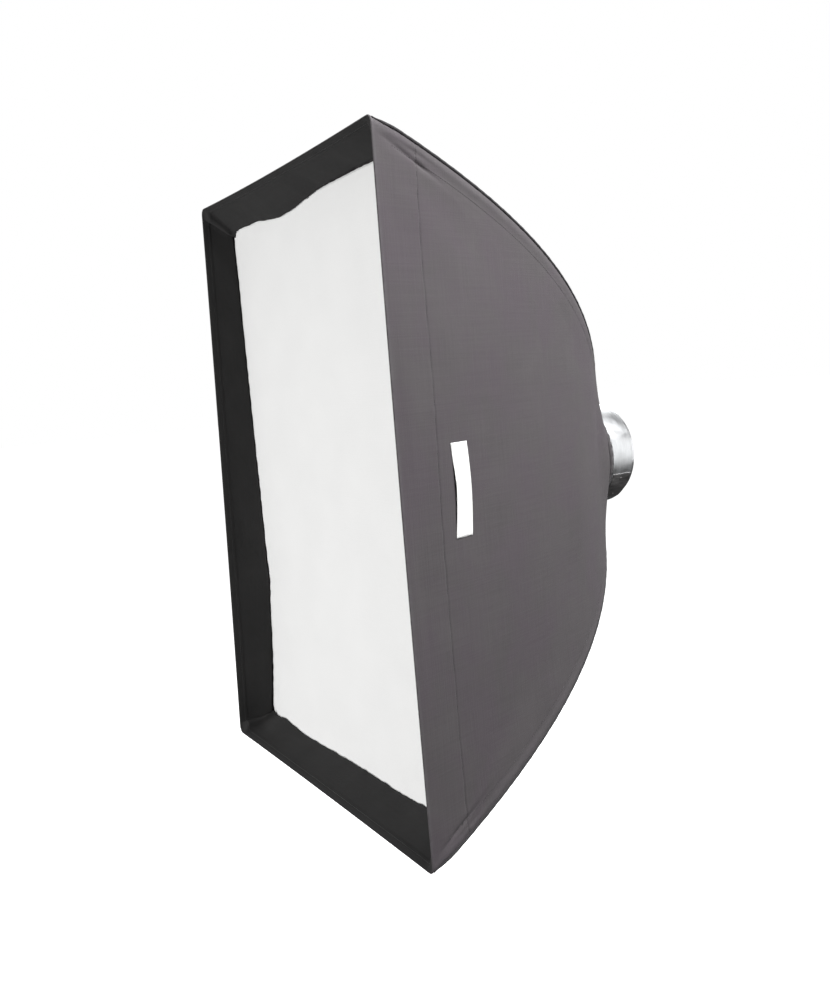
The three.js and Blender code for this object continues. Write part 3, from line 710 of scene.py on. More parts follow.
def add_panels():
    for side in SIDES:
        length = panel_stations()
        t = share_at_length(length)
        v = panel_columns(side, t)
        grid_t = np.broadcast_to(t[:, None], v.shape)
        points = off_shell(side, grid_t, v, panel_relief(side, grid_t, v))
        normal = shell_normal(side, grid_t[0], v[0])
        inwards = unit(normal - (normal @ Y)[:, None] * Y)
        fold = []
        for turn in np.linspace(math.pi / 2, 0, 6)[:-1]:
            drop = FOLD_RADIUS * (1 - math.cos(turn))
            forward = FOLD_RADIUS * math.sin(turn)
            fold.append(points[0] - inwards * drop - Y * forward)
        points = np.concatenate([np.array(fold), points])
        half = reach_of(side, t)[:, None]
        u = np.concatenate([np.repeat((v * half)[:1], 5, 0), v * half])
        down = np.concatenate([length[0] - np.linspace(2, 0.4, 5) * MM, length])
        uv = np.stack([u, np.broadcast_to(down[:, None], u.shape)], -1)
        builder = Builder()
        outwards = np.cross(points[20, 41] - points[20, 40], points[21, 40] - points[20, 40])
        builder.grid(points, uv, flip=bool(outwards @ SIDES[side][0] < 0))
        piece = builder.object(f"panel_{side}", LOOKS["shell_fabric"])
        add_wear(piece, side)
        finished(piece, "box", "shell_fabric", f"shell_panel_{side}")


def add_wear(piece, side):
    """Rubbed places: the front fold and the sleeve over each rod."""
    _, along, angle = SIDES[side]
    co = np.array([vertex.co for vertex in piece.data.vertices])
    depth = co[:, 1] - FRONT_Y
    reach = np.interp(depth, TABLE_DEPTH, TABLE_REACH) * math.sin(angle)
    from_seam = reach - np.abs(co @ along)
    wear = 0.8 * bell(depth, 0, 3 * MM) + 0.35 * bell(from_seam, 9 * MM, 7 * MM)
    attribute = piece.data.attributes.new("wear", "FLOAT", "POINT")
    attribute.data.foreach_set("value", np.clip(wear, 0, 1).astype(np.float32))


add_panels()

# ---- hood
WALL_INSET = 2 * FOLD_RADIUS
LIP_DEPTH = 56.5 * MM
LIP_RADIUS = 0.8 * MM
CORNER_END = 18 * MM  # the length along each wall that a hood corner takes
ROD_INSET_FRONT, ROD_INSET_BACK = 14 * MM, 8.5 * MM
ROD_FROM, ROD_TO, ROD_RADIUS = 0.035, 0.97, 3 * MM


def rod_inset(t):
    return lerp(ROD_INSET_FRONT, ROD_INSET_BACK, np.asarray(t, float))


def hood_sag(wall, along, depth):
    """How far the loose facing hangs away from its wall, growing towards its back edge.

    along runs from -1 to 1: left to right on the top and bottom, low to high on the sides."""
    back = np.clip(depth / LIP_DEPTH, 0, 1)
    reach = {
        "top": 15.5 * MM * bell(along, -0.34, 0.40) + 6 * MM * bell(along, -0.9, 0.2),
        "left": 8 * MM * bell(along, -0.16, 0.3) + 6 * MM * bell(along, -0.41, 0.1),
        "bottom": 6 * MM + 13 * MM * bell(along, -0.92, 0.22) + 7 * MM * bell(along, 0.75, 0.16),
        "right": 3 * MM * bell(along, 0.1, 0.6),
    }[wall]
    seed = ["top", "left", "bottom", "right"].index(wall) * 2.1
    scallops = np.sin(along * 31 + seed) + 0.7 * np.sin(along * 53 + seed * 2)
    scallops = scallops + 0.5 * np.sin(along * 87 + seed)
    waves = 0.35 * MM * scallops * back**2
    folds = 0.8 * MM * np.sin(along * 19 + seed + depth * 30) * np.sin(math.pi * back)
    return reach * back**1.7 + 0.5 * MM * back**2.5 + waves + folds * back


def hermite(a, slope_a, b, slope_b, share):
    """A cubic from a to b with these slopes at its ends."""
    s = share
    return (
        a * (2 * s**3 - 3 * s**2 + 1)
        + slope_a * (s**3 - 2 * s**2 + s)
        + b * (3 * s**2 - 2 * s**3)
        + slope_b * (s**3 - s**2)
    )


def hood_corner(wall_x, wall_z, depth, points=17):
    """Insets from the two walls of a path round one inside corner, past the rod in its sleeve."""
    t = share_at_depth(depth)
    slant = float(seam_tangent(t)[0])
    rod_x = rod_inset(t) / slant * math.cos(CORNER_ANGLE)
    rod_z = rod_inset(t) / slant * math.sin(CORNER_ANGLE)
    sleeve = lerp(7.0 * MM, 4.3 * MM, smooth(depth, 44 * MM, 53 * MM))
    share = np.linspace(0, 1, points)
    turn = np.radians(lerp(78, 12, np.clip((share - 0.3) / 0.4, 0, 1)))
    round_x, round_z = rod_x + sleeve * np.cos(turn), rod_z + sleeve * np.sin(turn)
    first = np.clip(share / 0.3, 0, 1)
    last = np.clip((1 - share) / 0.3, 0, 1)
    path_x = np.where(share < 0.3, hermite(wall_x, 0, round_x[0], 4 * MM, first), round_x)
    path_z = np.where(share < 0.3, hermite(CORNER_END, -8 * MM, round_z[0], -1 * MM, first), round_z)
    path_x = np.where(share > 0.7, hermite(CORNER_END, -8 * MM, round_x[-1], -1 * MM, last), path_x)
    path_z = np.where(share > 0.7, hermite(wall_z, 0, round_z[-1], 4 * MM, last), path_z)
    radius = corner_round(depth) - WALL_INSET
    angle = np.clip((share - 0.35) / 0.3, 0, 1) * math.pi / 2
    plain_x = wall_x + radius * (1 - np.cos(angle))
    plain_z = wall_z + radius * (1 - np.sin(angle))
    plain_z = np.where(share < 0.35, lerp(CORNER_END, wall_z + radius, share / 0.35), plain_z)
    plain_x = np.where(share > 0.65, lerp(wall_x + radius, CORNER_END, (share - 0.65) / 0.35), plain_x)
    sewn = smooth(depth, 2 * MM, 10 * MM)
    return lerp(plain_x, path_x, sewn), lerp(plain_z, path_z, sewn)


# How far the facing hangs down, or stands up, from the top or bottom wall in each corner.
CORNER_SAG = {"top_right": 0, "top_left": 10 * MM, "bottom_left": 17 * MM, "bottom_right": 0}
WALL_ENDS = {"top": ("top_left", "top_right"), "bottom": ("bottom_left", "bottom_right")}


def pulled_forward(x, z):
    """How far the low left corner of the diffuser and the facing's lip is drawn forward."""
    return 12 * MM * bell(x, -HALF_WIDTH, 150 * MM) * bell(z, -HALF_HEIGHT, 150 * MM)


def hood_row(depth, extra):
    """One closed row of the hood's inside at a depth, moved in from the walls by extra."""
    wide, high = float(half_width(depth)), float(half_height(depth))
    hang = (max(depth, 0) / LIP_DEPTH) ** 1.7
    rounds = {}
    for name, (sx, sz) in CORNERS.items():
        dx, dz = hood_corner(WALL_INSET + extra, WALL_INSET + extra, depth)
        share = smooth(np.linspace(0, 1, len(dx)), 0, 1)
        dz = dz + CORNER_SAG[name] * share * hang
        rounds[name] = np.stack([sx * (wide - dx), sz * (high - dz)], -1)
    end_x, end_z = wide - CORNER_END, high - CORNER_END

    def wall(name, count):
        share = np.linspace(-1, 1, count + 2)[1:-1]
        taper = smooth(1 - np.abs(share), 0, 0.12)
        low_end, high_end = [CORNER_SAG[end] * hang for end in WALL_ENDS.get(name, ())] or (0, 0)
        at_ends = np.where(share < 0, low_end, high_end)
        inset = WALL_INSET + extra + lerp(at_ends, hood_sag(name, share, depth), taper)
        inset = inset + drawn_in(name, share, depth)
        if name in ("left", "right"):
            side = 1 if name == "right" else -1
            return np.stack([side * (wide - inset), share * end_z], -1)
        side = 1 if name == "top" else -1
        return np.stack([share * end_x, side * (high - inset)], -1)

    ring = [wall("right", 90), rounds["top_right"], wall("top", 64)[::-1], rounds["top_left"][::-1]]
    ring += [wall("left", 90)[::-1], rounds["bottom_left"], wall("bottom", 64), rounds["bottom_right"][::-1]]
    ring = np.concatenate(ring)
    forward = pulled_forward(ring[:, 0], ring[:, 1]) * smooth(depth, 20 * MM, LIP_DEPTH)
    return np.stack([ring[:, 0], FRONT_Y + depth - forward, ring[:, 1]], -1)


def drawn_in(side, share, depth):
    """How far the outer panel itself lies inside its straight-sided section."""
    t = share_at_depth(depth) + 0 * share
    v = share * (1 - CORNER_END / reach_of(side, t))
    return PANEL_SAG * (1 - v * v) - PANEL_SAG * (1 - v[0] ** 2) - panel_relief(side, t, v)


def add_hood():
    rows = []
    for turn in np.linspace(0, math.pi / 2, 5)[:-1]:
        fold = FOLD_RADIUS * (1 - math.sin(turn))
        rows.append(hood_row(fold, -fold))
    for depth in np.array([1.3, 3, 6, 9, 10.5, 11.5]) * MM:
        rows.append(hood_row(depth, 0.45 * MM))
    depths = np.linspace(12.2 * MM, LIP_DEPTH - 4 * MM, 15)
    for depth in np.concatenate([depths, LIP_DEPTH - np.array([2.5, 1, 0]) * MM]):
        rows.append(hood_row(depth, 0.0))
    for turn in np.linspace(0, math.pi, 6)[1:]:
        row = hood_row(LIP_DEPTH, -LIP_RADIUS + LIP_RADIUS * math.cos(turn))
        row[:, 1] += LIP_RADIUS * math.sin(turn)
        rows.append(row)
    nodes = ["front_hem", *(f"hood_facing_{side}" for side in SIDES)]
    facing = Builder().grid(np.array(rows), wrap=True).piece("hood_facing", "hood_fabric", "box", *nodes)
    threads = Builder()
    row = hood_row(8.6 * MM, 0.45 * MM)
    row = np.concatenate([row, row[:1]])
    sew(threads, row, unit(row * [0, 1, 0] - row + 1e-9), 4 * MM)
    threads.piece("hood_stitching", "hood_fabric", "box", look="sewing_thread")


add_hood()


# ---- diffuser
def rounded_sheet(half_x, half_z, corner, columns, rows):
    """A flat grid that fills a rectangle with rounded corners."""
    x = np.linspace(-1, 1, columns)[None] * half_x + np.zeros((rows, 1))
    z = np.linspace(-1, 1, rows)[:, None] * half_z + np.zeros((1, columns))
    past_x = np.clip(np.abs(x) - (half_x - corner), 0, None) / corner
    past_z = np.clip(np.abs(z) - (half_z - corner), 0, None) / corner
    far = np.maximum(past_x, past_z)
    round_by = np.where(far > 0, far / np.maximum(np.hypot(past_x, past_z), 1e-9), 1)
    x = np.sign(x) * (np.abs(x) - past_x * corner * (1 - round_by))
    z = np.sign(z) * (np.abs(z) - past_z * corner * (1 - round_by))
    return x, z


DIFFUSER_DEPTH = 59.0 * MM
DIFFUSER_INSET = 3.4 * MM


def add_diffuser():
    half_x = float(half_width(DIFFUSER_DEPTH)) - DIFFUSER_INSET
    half_z = float(half_height(DIFFUSER_DEPTH)) - DIFFUSER_INSET
    x, z = rounded_sheet(half_x, half_z, 31 * MM, 160, 220)
    share_x, share_z = x / half_x, z / half_z

    def inwards(side, v):
        return PANEL_SAG * (1 - v * v) - panel_relief(side, share_at_depth(DIFFUSER_DEPTH) + 0 * v, v)

    off_x = np.where(x > 0, inwards("right", share_z), inwards("left", share_z))
    off_z = np.where(z > 0, inwards("top", share_x), inwards("bottom", share_x))
    x = x - share_x * np.abs(share_x) ** 3 * off_x
    z = z - share_z * np.abs(share_z) ** 3 * off_z
    to_x, to_z = half_x - np.abs(x), half_z - np.abs(z)
    edge = np.minimum(to_x, to_z)
    pull_x = np.sin(z * 210 + 2 * np.sin(z * 37)) * bell(to_x, 0, 26 * MM)
    pull_z = np.sin(x * 235 + 2 * np.sin(x * 41)) * bell(to_z, 0, 24 * MM)
    corner = bell(np.hypot(to_x, to_z), 0, 85 * MM)
    spokes = np.sin(np.arctan2(to_z, to_x + 1e-6) * 22 + np.sign(x) * 1.3 + np.sign(z) * 0.6)
    slack = 0.45 * MM * np.sin(x * 23 + z * 11) * np.sin(z * 14 - x * 5)
    relief = 0.45 * MM * (pull_x + pull_z) + 0.5 * MM * corner * spokes + slack
    relief = relief * smooth(edge, -1 * MM, 6 * MM)
    belly = 2.4 * MM * (1 - (x / half_x) ** 2) * (1 - (z / half_z) ** 2)
    depth = DIFFUSER_DEPTH + relief + belly - pulled_forward(x, z)
    points = np.stack([x, FRONT_Y + depth, z], -1)
    sheet = Builder().grid(points, np.stack([x, z], -1), flip=True)
    thick = (0.5 * MM, -1)
    piece = sheet.piece("diffuser_sheet", "diffuser_fabric", "diffuser", "front_diffuser", thick=thick)
    tape = Builder()
    for side in SIDES:
        band(tape, side, 64 * MM, 90 * MM, 34 * MM, 4.6 * MM, 1.2 * MM)
    tape.piece("diffuser_hook_tape", "hook_tape", "diffuser", "diffuser_tape")


def band(builder, side, from_depth, to_depth, margin, inset, thickness):
    """A thin strip, open at its two ends, that follows one side of the shell on the inside."""
    t = share_at_depth(np.linspace(from_depth, to_depth, 8))[:, None]
    v = np.linspace(-1, 1, 60)[None] * (1 - margin / reach_of(side, t))
    t = np.broadcast_to(t, v.shape)
    outer, inner = off_shell(side, t, v, -inset), off_shell(side, t, v, -inset - thickness)
    middle = 0.5 * (outer + inner)
    loop = np.concatenate([middle[:1], outer, middle[-1:], inner[::-1]])
    builder.grid(loop.transpose(1, 0, 2), wrap=True)


add_diffuser()


# ---- inside of the shell
def add_linings():
    depth_from, margin, inset = 93 * MM, 12 * MM, 2.4 * MM
    length = np.linspace(length_at_share(share_at_depth(depth_from)), TABLE_LENGTH[-1] - 2 * MM, 110)
    t_rows = share_at_length(length)[:, None]
    across = np.linspace(-1, 1, 70)
    for k, side in enumerate(SIDES):
        v = across[None] * (1 - margin / reach_of(side, t_rows))
        t = np.broadcast_to(t_rows, v.shape)
        beside, back = v * reach_of(side, t), length[:, None]
        crumple = 0.5 + 0.5 * (np.sin(beside * 61 + back * 23 + k) * np.sin(back * 57 - beside * 19))
        edge = smooth(1 - np.abs(across), 0, 0.1)[None]
        points = off_shell(side, t, v, -inset - 0.7 * MM * crumple * edge)
        lining = Builder().grid(points, np.stack([beside, back + 0 * beside], -1))
        name, node, thick = f"lining_sheet_{side}", f"lining_{side}", (0.4 * MM, 0)
        piece = lining.piece(name, "silver_lining", "box", node, thick=thick)
        tape = Builder()
        band(tape, side, 66 * MM, 91.5 * MM, 26 * MM, 2.1 * MM, 1.0 * MM)
        tape.piece(f"loop_tape_strip_{side}", "loop_tape", "box", f"loop_tape_{side}")


add_linings()


# ---- corner seams and rods
# Turned profiles of (radius, distance along), in millimetres.
FERRULE = [(0, 0), (3.3, 0), (3.6, 0.3), (3.6, 8), (3.35, 8.4), (3.35, 9.2), (3.6, 9.6)]
FERRULE += [(3.6, 31.5), (2.6, 33.6), (2.0, 34), (0, 34)]
TIP = [(0, 0), (3.9, 0), (4.3, 0.4), (4.3, 7), (4.1, 8.5), (3.5, 10.4), (2.3, 11.6), (0, 12)]
POCKET = [(4.8, -10), (5.4, -10.4), (6.0, -9.6), (5.9, 0), (5.9, 8), (5.2, 11.4), (3.2, 13.4)]
POCKET += [(0, 13.8), (0, 13.2), (3.0, 12.6), (4.8, 8), (4.8, -10)]


def add_corners():
    for name, corner in CORNERS.items():
        side_axis = np.cross(outwards_at(corner), Y)

        def add(piece, slot, node, points, crisp=None, wrap=True):
            grid = Builder().grid(points, wrap=wrap)
            grid.piece(f"{piece}_{name}", slot, "box", f"{node}_{name}", crisp=crisp)

        t = np.linspace(0.004, 0.982, 240)
        length = length_at_share(t)
        radius = 2.25 * MM * (1 + 0.05 * np.sin(length * 410) + 0.04 * np.sin(length * 173 + corner[0]))
        ends = smooth(length - length[0], 0, 22 * MM) * smooth(length[-1] - length, 0, 5 * MM)
        path = corner_line(corner, 0.414 * corner_round(seam(t)[0]) - 0.45 * MM, t)
        piping = capped(path, radius * (0.35 + 0.65 * ends), side_axis, 18)
        add("piping", "piping_fabric", "seam_piping", piping)

        t = np.linspace(ROD_FROM, ROD_TO, 120)
        rod = corner_line(corner, rod_inset(t), t)
        add("flex_rod", "rod_fibreglass", "rod", capped(rod, ROD_RADIUS, side_axis, 24), crisp=50)

        backwards, forwards = unit(rod[-1] - rod[-2]), unit(rod[0] - rod[1])
        ferrule = turned(FERRULE, rod[-1] + 0.4 * MM * backwards, backwards, 40)
        add("ferrule", "ferrule_steel", "rod_ferrule", ferrule, crisp=30)
        tip = turned(TIP, rod[0] + 0.4 * MM * forwards, forwards, 32)
        add("tip", "tip_plastic", "rod_tip", tip, crisp=40)
        add("pocket", "pocket_webbing", "corner_pocket", turned(POCKET, rod[0], forwards, 32))

        t = np.linspace(0.085, 0.955, 100)
        deeper = 0.5 * MM * unit(corner_line(corner, 20 * MM, t) - corner_line(corner, 0, t))
        strip = []
        for share in np.linspace(-1, 1, 13):
            hump = 0.4 * MM + 4.0 * MM * bell(share, 0, 0.55)
            line = corner_line(corner, rod_inset(t) + hump, t)
            strip.append(line + side_axis * share * 7.5 * MM)
        strip = np.array(strip)
        channel = np.concatenate([strip, (strip + deeper)[::-1], strip[:1]])
        add("channel", "silver_lining", "rod_channel", channel, wrap=False)


add_corners()


def add_stitching():
    """The sewn line round the box, and a row beside each corner seam."""
    threads = Builder()

    def row(side, t, v, standing, thread):
        path = off_shell(side, t, v, panel_relief(side, t, v) + standing)
        sew(threads, path, shell_normal(side, t, v), 4.2 * MM, 3.0 * MM, thread)

    length = np.linspace(0.03, TABLE_LENGTH[-1] - 0.05, 400)
    beside_seam = share_at_length(length)
    sewn = share_at_depth(SEAM_DEPTH)
    for side in SIDES:
        v = np.linspace(-1, 1, 400) * (1 - 9 * MM / reach_of(side, sewn))
        row(side, np.full(v.shape, float(sewn)), v, 0.1 * MM, 0.22 * MM)
        for end in (-1, 1):
            v = end * (1 - SLEEVE_WIDTH / reach_of(side, beside_seam))
            row(side, beside_seam, v, 0.08 * MM, 0.2 * MM)
    threads.piece("shell_stitching", "shell_fabric", "box", look="sewing_thread")


add_stitching()


# ---- label and cuff
LABEL_FROM, LABEL_TO, LABEL_LOW, LABEL_HIGH = 87.5 * MM, 117 * MM, -50 * MM, 69 * MM


def label_point(depth, height, standing):
    t = share_at_depth(depth)
    v = height / reach_of("right", t)
    return off_shell("right", t, v, panel_relief("right", t, v) + standing)


def add_label():
    share_z = np.linspace(0, 1, 60)[:, None]
    share_d = np.linspace(0, 1, 22)[None]
    height = lerp(LABEL_LOW, LABEL_HIGH, share_z) + 0 * share_d
    depth = lerp(LABEL_FROM, LABEL_TO, share_d) + 4.0 * MM * np.sin(math.pi * share_z)
    lifted = np.sin(math.pi * np.clip(share_z * 1.05, 0, 1)) ** 2 * (1 - share_d) ** 1.5
    standing = 0.5 * MM + 2.0 * MM * lifted + 0.25 * MM * np.sin(share_z * 13) * (1 - share_d)
    points = label_point(depth, height, standing)
    label = Builder().grid(points, np.stack([depth, height], -1))
    piece = label.piece("blank_label", "label_fabric", "box", "side_label", thick=(0.35 * MM, 0))
    threads = Builder()
    for height in (LABEL_LOW + 2.5 * MM, LABEL_HIGH - 2.5 * MM):
        depth = np.linspace(LABEL_FROM + 1.5 * MM, LABEL_TO - 1.5 * MM, 40)
        path = label_point(depth, np.full(40, height), np.full(40, 0.85 * MM))
        t = share_at_depth(depth)
        normal = shell_normal("right", t, height / reach_of("right", t))
        sew(threads, path, normal, 2.6 * MM, 2.0 * MM, 0.17 * MM)
    threads.piece("label_stitching", "label_fabric", "box", look="pale_thread")


add_label()


CUFF = [(85.2, 523.2), (85.2, 529.2), (86.4, 529.6), (87.6, 529.0), (88.2, 527.4), (88.2, 525.2)]
CUFF += [(87.7, 523.4), (87.0, 522.6), (86.2, 522.6)]  # (radius, depth), in millimetres


def add_cuff():
    angle = circle(360)
    profile = np.array(CUFF + CUFF[:1]) * MM
    pleats = np.sin(angle * 34 + 1.3 * np.sin(angle * 5)) + 0.4 * np.sin(angle * 77)
    rows = []
    for radius, depth in profile:
        share = smooth(radius, 85.2 * MM, 88 * MM)
        local = radius + 0.2 * MM * share * pleats
        back = FRONT_Y + depth + 0.35 * MM * share * pleats
        rows.append(np.stack([local * np.cos(angle), back, local * np.sin(angle)], -1))
    Builder().grid(np.array(rows), wrap=True).piece("gathered_cuff", "cuff_fabric", "box", "back_cuff")


add_cuff()


# ---- inner baffle
EYELET = [(3.2, -1.1), (4.4, -1.3), (5.4, -0.9), (5.4, 0.9), (4.4, 1.3), (3.2, 1.1), (2.9, 0), (3.2, -1.1)]
STRAP_AT = (0.171, 0.276)  # where each strap leaves the baffle, in metres along X and Z


def add_baffle():
    low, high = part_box("inner_baffle")
    half_x, half_z, depth = high.x - 1 * MM, high.z - 1 * MM, low.y + 0.75 * MM
    x, z = rounded_sheet(half_x, half_z, 16 * MM, 80, 120)
    corner = bell(np.hypot(half_x - np.abs(x), half_z - np.abs(z)), 0, 90 * MM)
    fan = np.sin(np.arctan2(half_z - np.abs(z), half_x - np.abs(x) + 1e-6) * 16)
    relief = 0.35 * MM * corner * fan + 0.35 * MM * np.sin(x * 31) * np.sin(z * 17)
    points = np.stack([x, depth + relief, z], -1)
    sheet = Builder().grid(points, np.stack([x, z], -1), flip=True)
    piece = sheet.piece("baffle_sheet", "baffle_fabric", "baffle", "inner_baffle", thick=(0.5 * MM, 0))
    outline = np.concatenate([points[0], points[1:-1, -1], points[-1, ::-1], points[1:-1, 0][::-1]])
    outline = np.concatenate([outline, outline[:1]])
    angle = circle(12)
    inward = unit(-outline * [1, 0, 1])
    rows = outline[:, None] + inward[:, None] * (3 * MM + 4 * MM * np.cos(angle))[None, :, None]
    rows = rows + Y * (0.9 * MM * np.sin(angle))[None, :, None]
    binding = Builder().grid(rows, wrap=True)
    hem = binding.piece("baffle_binding", "baffle_fabric", "baffle", look="pocket_webbing")
    eyelets = Builder()
    for name, (sx, sz) in CORNERS.items():
        centre = np.array([sx * (half_x - 9 * MM), depth, sz * (half_z - 9 * MM)])
        eyelets.grid(turned(EYELET, centre, Y, 32), wrap=True)
        strap_low, strap_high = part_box(f"baffle_strap_{name}")
        level = strap_low.y + 0.5 * MM
        near = np.array([sx * STRAP_AT[0], level, sz * STRAP_AT[1]])
        far_x = max(abs(strap_low.x), abs(strap_high.x)) - 6.5 * MM
        far_z = max(abs(strap_low.z), abs(strap_high.z)) - 5.5 * MM
        far = np.array([sx * far_x, level, sz * far_z])
        beside = np.cross(Y, unit(far - near))
        share = np.linspace(0, 1, 24)
        half = 7.6 * MM - 1.2 * MM * np.sin(math.pi * share)
        rows = []
        for turn in circle(16):
            row = near + np.outer(share, far - near) + np.outer(half * math.cos(turn), beside)
            rows.append(row + 0.5 * MM * math.sin(turn) * Y)
        strap = Builder().grid(np.array(rows).transpose(1, 0, 2), wrap=True)
        strap.piece(f"elastic_{name}", "strap_elastic", "baffle", f"baffle_strap_{name}")
    eyelets.piece("baffle_eyelets", "lug_steel", "baffle")


add_baffle()


# ---- speedring and adapter
# Outlines of (radius, depth back from the front), in millimetres.
RING = [(58, 505), (80, 505), (80, 523), (RIM_RADIUS, 527), (RIM_RADIUS, RIM_BACK - 1)]
RING += [(RIM_RADIUS - 1, RIM_BACK), (RIM_BORE, RIM_BACK), (RIM_BORE, 527), (58, 527)]
BEAD = [(-0.1, 532.5), (0.7, 532.5), (0.7, 535), (-0.1, 535)]  # radius past the rim
COLLAR_INSIDE = COLLAR_RADIUS - 4
COLLAR = [(54, 499), (57.5, 499), (57.5, 527.5), (COLLAR_RADIUS, 527.5), (COLLAR_RADIUS, ADAPTER_BACK - 1)]
COLLAR += [(COLLAR_RADIUS - 1, ADAPTER_BACK), (61, ADAPTER_BACK), (61, ADAPTER_BACK - 3)]
COLLAR += [(COLLAR_INSIDE, ADAPTER_BACK - 3), (COLLAR_INSIDE, 530.5), (54, 530.5)]
# Turned profiles of (radius, distance along), in millimetres.
BOSS = [(4.0, 15), (7.4, 15), (8.2, 15.8), (8.2, 34.2), (7.4, 35), (4.0, 35), (4.0, 15)]
RIVET = [(0, 0.45), (1.8, 0.45), (2.1, 0.15), (2.2, 0), (2.2, -0.4), (0, -0.4)]
CLAMP_FROM, CLAMP_TO, RIVETS_AT = -58, -22, (-52, -28)  # degrees round the rim


def add_speedring():
    builder = ring_body(Builder(), RING)
    ring_body(builder, [(RIM_RADIUS + out, depth) for out, depth in BEAD], bevel=0.3 * MM)
    for corner in CORNERS.values():
        t = np.array([ROD_TO - 1e-4, ROD_TO])
        end = corner_line(corner, rod_inset(t), t)
        builder.grid(turned(BOSS, end[1], unit(end[1] - end[0]), 48), wrap=True)
    builder.piece("speedring_body", "ring_aluminium", "box", "speedring", crisp=38)
    front, back = 535.6, RIM_BACK - 2.6
    low, high = RIM_RADIUS + 0.05, RIM_RADIUS + 1.1
    outline = rounded(np.array([(low, front), (high, front), (high, back), (low, back)]) * MM, 0.4 * MM)
    rows = []
    for angle in np.radians(np.linspace(CLAMP_FROM, CLAMP_TO, 30)):
        rows.append(np.outer(outline[:, 0], spoke(angle)) + np.outer(outline[:, 1] + FRONT_Y, Y))
    middle = np.array([row.mean(0) + 0 * row for row in (rows[0], rows[-1])])
    clamp = Builder().grid(np.concatenate([middle[:1], np.array(rows), middle[1:]]))
    for angle in np.radians(RIVETS_AT):
        at = spoke(angle) * high * MM + (FRONT_Y + 0.5 * (front + back) * MM) * Y
        clamp.grid(turned(RIVET, at, spoke(angle), 24), wrap=True)
    clamp.piece("rim_clamp", "ring_aluminium", "box", look="dark_steel", crisp=38)


add_speedring()


def add_adapter():
    body = ring_body(Builder(), COLLAR, bevel=0.5 * MM)
    body.piece("adapter_body", "collar_aluminium", "adapter", "adapter_collar", crisp=38)
    dress("retaining_ring", "spring_steel")
    for k in (1, 2, 3):
        dress(f"bayonet_lug_{k}", "lug_steel")


def dress(node, look):
    """Keeps a CAD node, with its edges eased and a finish of its own."""
    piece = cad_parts[node]
    for slot in piece.material_slots:
        slot.link = "OBJECT"
        slot.material = LOOKS[look]
    weld = piece.modifiers.new("weld", "WELD")
    weld.merge_threshold = 0.01 * MM
    edge = piece.modifiers.new("edge", "BEVEL")
    edge.width, edge.segments, edge.limit_method = 0.4 * MM, 3, "ANGLE"
    edge.angle_limit = math.radians(40)


add_adapter()


KNOB = [(0, 3.2), (6.8, 3.2), (8.2, 3.6), (8.6, 4.8), (8.6, 12.4), (8.2, 14.0), (7.0, 14.8), (4.6, 15.0)]
KNOB += [(4.2, 14.3), (0, 14.2)]
KNOB_LOBES, LOBE_HEIGHT = 8, 0.8
WASHER = [(0, 0.6), (5.2, 0.6), (5.5, 0.9), (5.5, 3.2), (0, 3.2)]
STUD = [(0, -4.6), (2.6, -4.6), (3.0, -4.2)]
STUD += [(3.0 - 0.25 * (k % 2), -3.8 + 0.4 * k) for k in range(9)] + [(3.0, 1), (0, 1)]


def add_lock_screw(index, degrees):
    """A lobed thumb knob on its washer and stud."""
    outwards = spoke(math.radians(degrees))
    low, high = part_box(f"lock_screw_{index}")
    start = (low.y + high.y) / 2 * Y + RIM_RADIUS * MM * outwards
    turn = np.linspace(0, 2 * math.pi, 128, endpoint=False)
    spokes = Y * np.cos(turn)[:, None] + np.cross(outwards, Y) * np.sin(turn)[:, None]
    rows = []
    for radius, along in np.array(KNOB) * MM:
        lobes = smooth(radius, 5 * MM, 8.6 * MM) * LOBE_HEIGHT * MM * np.cos(KNOB_LOBES * turn)
        rows.append(start + along * outwards + (radius + lobes)[:, None] * spokes)
    builder = Builder().grid(np.array(rows), wrap=True)
    builder.grid(turned(WASHER, start, outwards, 40), wrap=True)
    builder.grid(turned(STUD, start, outwards, 32), wrap=True)
    node = f"lock_screw_{index}"
    builder.piece(f"thumb_knob_{index}", "knob_plastic", node, node, crisp=35)


add_lock_screw(1, 150)
add_lock_screw(2, 210)

# ---- floor, world and lights
FLOOR_Z, FLOOR_REACH = -1.15, 40


def add_floor():
    s = Shader("floor_paint", 0.9, specular_ior_level=0.1)
    speckle = s.noise(s.metres(), 3, 3)
    s.colour(s.mix(s.remap(speckle, 0.3, 0.7, 0, 1), (0.90, 0.90, 0.90), (0.93, 0.93, 0.93)))
    s.surface.inputs["Emission Color"].default_value = (1, 1, 1, 1)
    s.surface.inputs["Emission Strength"].default_value = 0.9
    side = np.linspace(-FLOOR_REACH, FLOOR_REACH, 21)
    x, y = np.meshgrid(side, side)
    grid = Builder().grid(np.stack([x, y, np.full(x.shape, FLOOR_Z)], -1), np.stack([x, y], -1))
    floor = grid.object("floor", s.material, soft=False)
    floor.visible_diffuse = False
    floor.visible_glossy = False


add_floor()


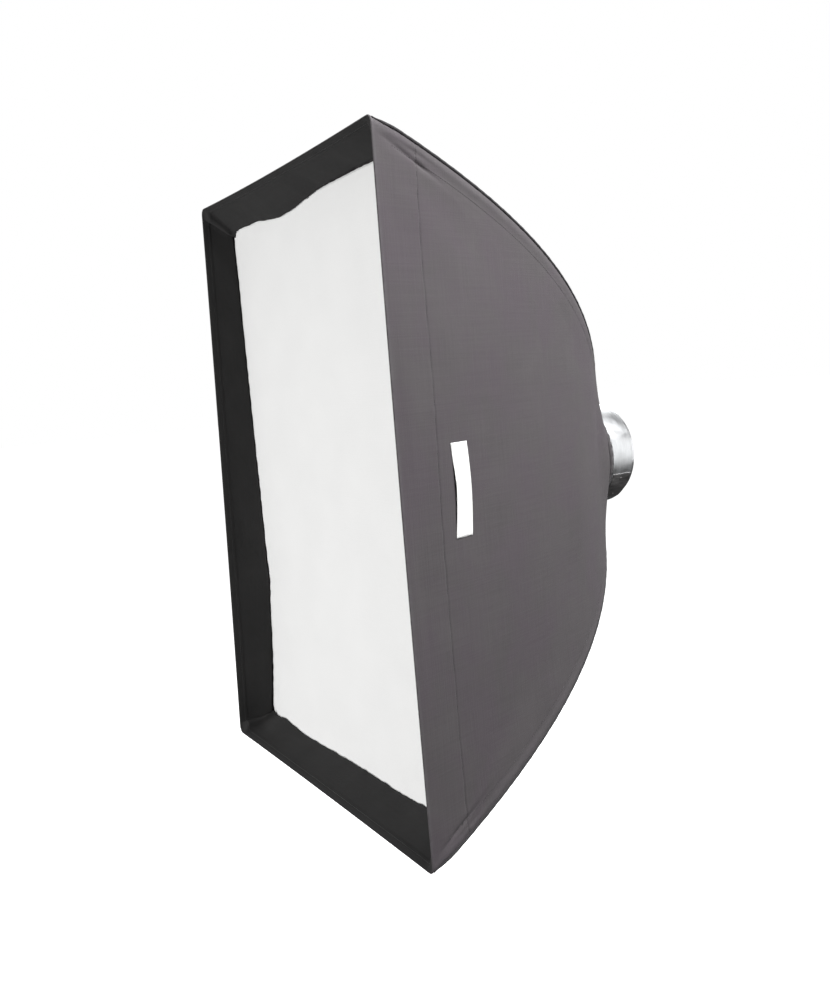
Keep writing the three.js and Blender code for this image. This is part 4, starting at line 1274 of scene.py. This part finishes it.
def add_world():
    """Even white surroundings to look at, and a softer dome to light with, dimmer overhead."""
    scene = bpy.context.scene
    world = bpy.data.worlds.new("studio")
    scene.world = world
    world.use_nodes = True
    w = Nodes(world.node_tree)
    parts = w.node("SeparateXYZ", {0: w.node("TexCoord").outputs["Generated"]})
    height = w.remap(parts.outputs[2], -0.5, 0.2, 0.06, 0.38)
    overhead = w.remap(parts.outputs[2], 0.3, 1.0, 1.0, 0.5)
    aside = w.remap(parts.outputs[0], -0.2, 0.8, 1.0, 0.4)
    strength = w.math("MULTIPLY", w.math("MULTIPLY", height, overhead), aside)
    white = (1, 1, 1, 1)
    dome = w.node("Background", {"Color": white, "Strength": strength})
    seen = w.node("Background", {"Color": white, "Strength": 1.0})
    direct = w.node("LightPath").outputs["Is Camera Ray"]
    join = w.node("MixShader", {0: direct, 1: dome.outputs[0], 2: seen.outputs[0]})
    w.node("OutputWorld", {"Surface": join.outputs[0]})
    scene.view_settings.view_transform = "Standard"


add_world()

LIGHTS = {  # place and aim in metres, side of the square in metres, power in watts
    "key": ((1.4, 0.2, 1.6), (0.2, -0.25, 0.25), 1.2, 93),
    "front_fill": ((-0.2, -2.9, -0.15), (0, -0.5, -0.1), 1.8, 53),
    "back_rim": ((-1.6, 1.9, 1.5), (0, -0.2, 0), 1.2, 40),
    "collar_card": ((1.55, 1.45, 0.05), (0, 0, 0), 1.5, 12),
}
for name, (place, aim, size, power) in LIGHTS.items():
    data = bpy.data.lights.new(name, "AREA")
    data.shape, data.size, data.energy = "SQUARE", size, power
    light = bpy.data.objects.new(name, data)
    bpy.context.scene.collection.objects.link(light)
    light.location = place
    light.visible_camera = False
    light.rotation_mode = "QUATERNION"
    light.rotation_quaternion = (Vector(aim) - Vector(place)).to_track_quat("-Z", "Y")

# ---- camera
CAMERA_AT = (1.2502, FRONT_Y - 0.557, 0.1465)
CAMERA_RIGHT, CAMERA_UP = Vector((0.5176, 0.8517, -0.0815)), Vector((-0.0445, 0.1219, 0.9916))
LENS, SENSOR, CAMERA_SHIFT = 34.4, 36, (0.007, -0.020)  # millimetres, and shares of the frame


def add_camera():
    data = bpy.data.cameras.new("camera")
    camera = bpy.data.objects.new("camera", data)
    bpy.context.scene.collection.objects.link(camera)
    bpy.context.scene.camera = camera
    camera.location = CAMERA_AT
    camera.rotation_mode = "QUATERNION"
    axes = Matrix((CAMERA_RIGHT, CAMERA_UP, CAMERA_RIGHT.cross(CAMERA_UP))).transposed()
    camera.rotation_quaternion = axes.to_quaternion()
    data.lens, data.sensor_width = LENS, SENSOR
    data.shift_x, data.shift_y = CAMERA_SHIFT
    data.clip_start, data.clip_end = 0.01, 200


add_camera()
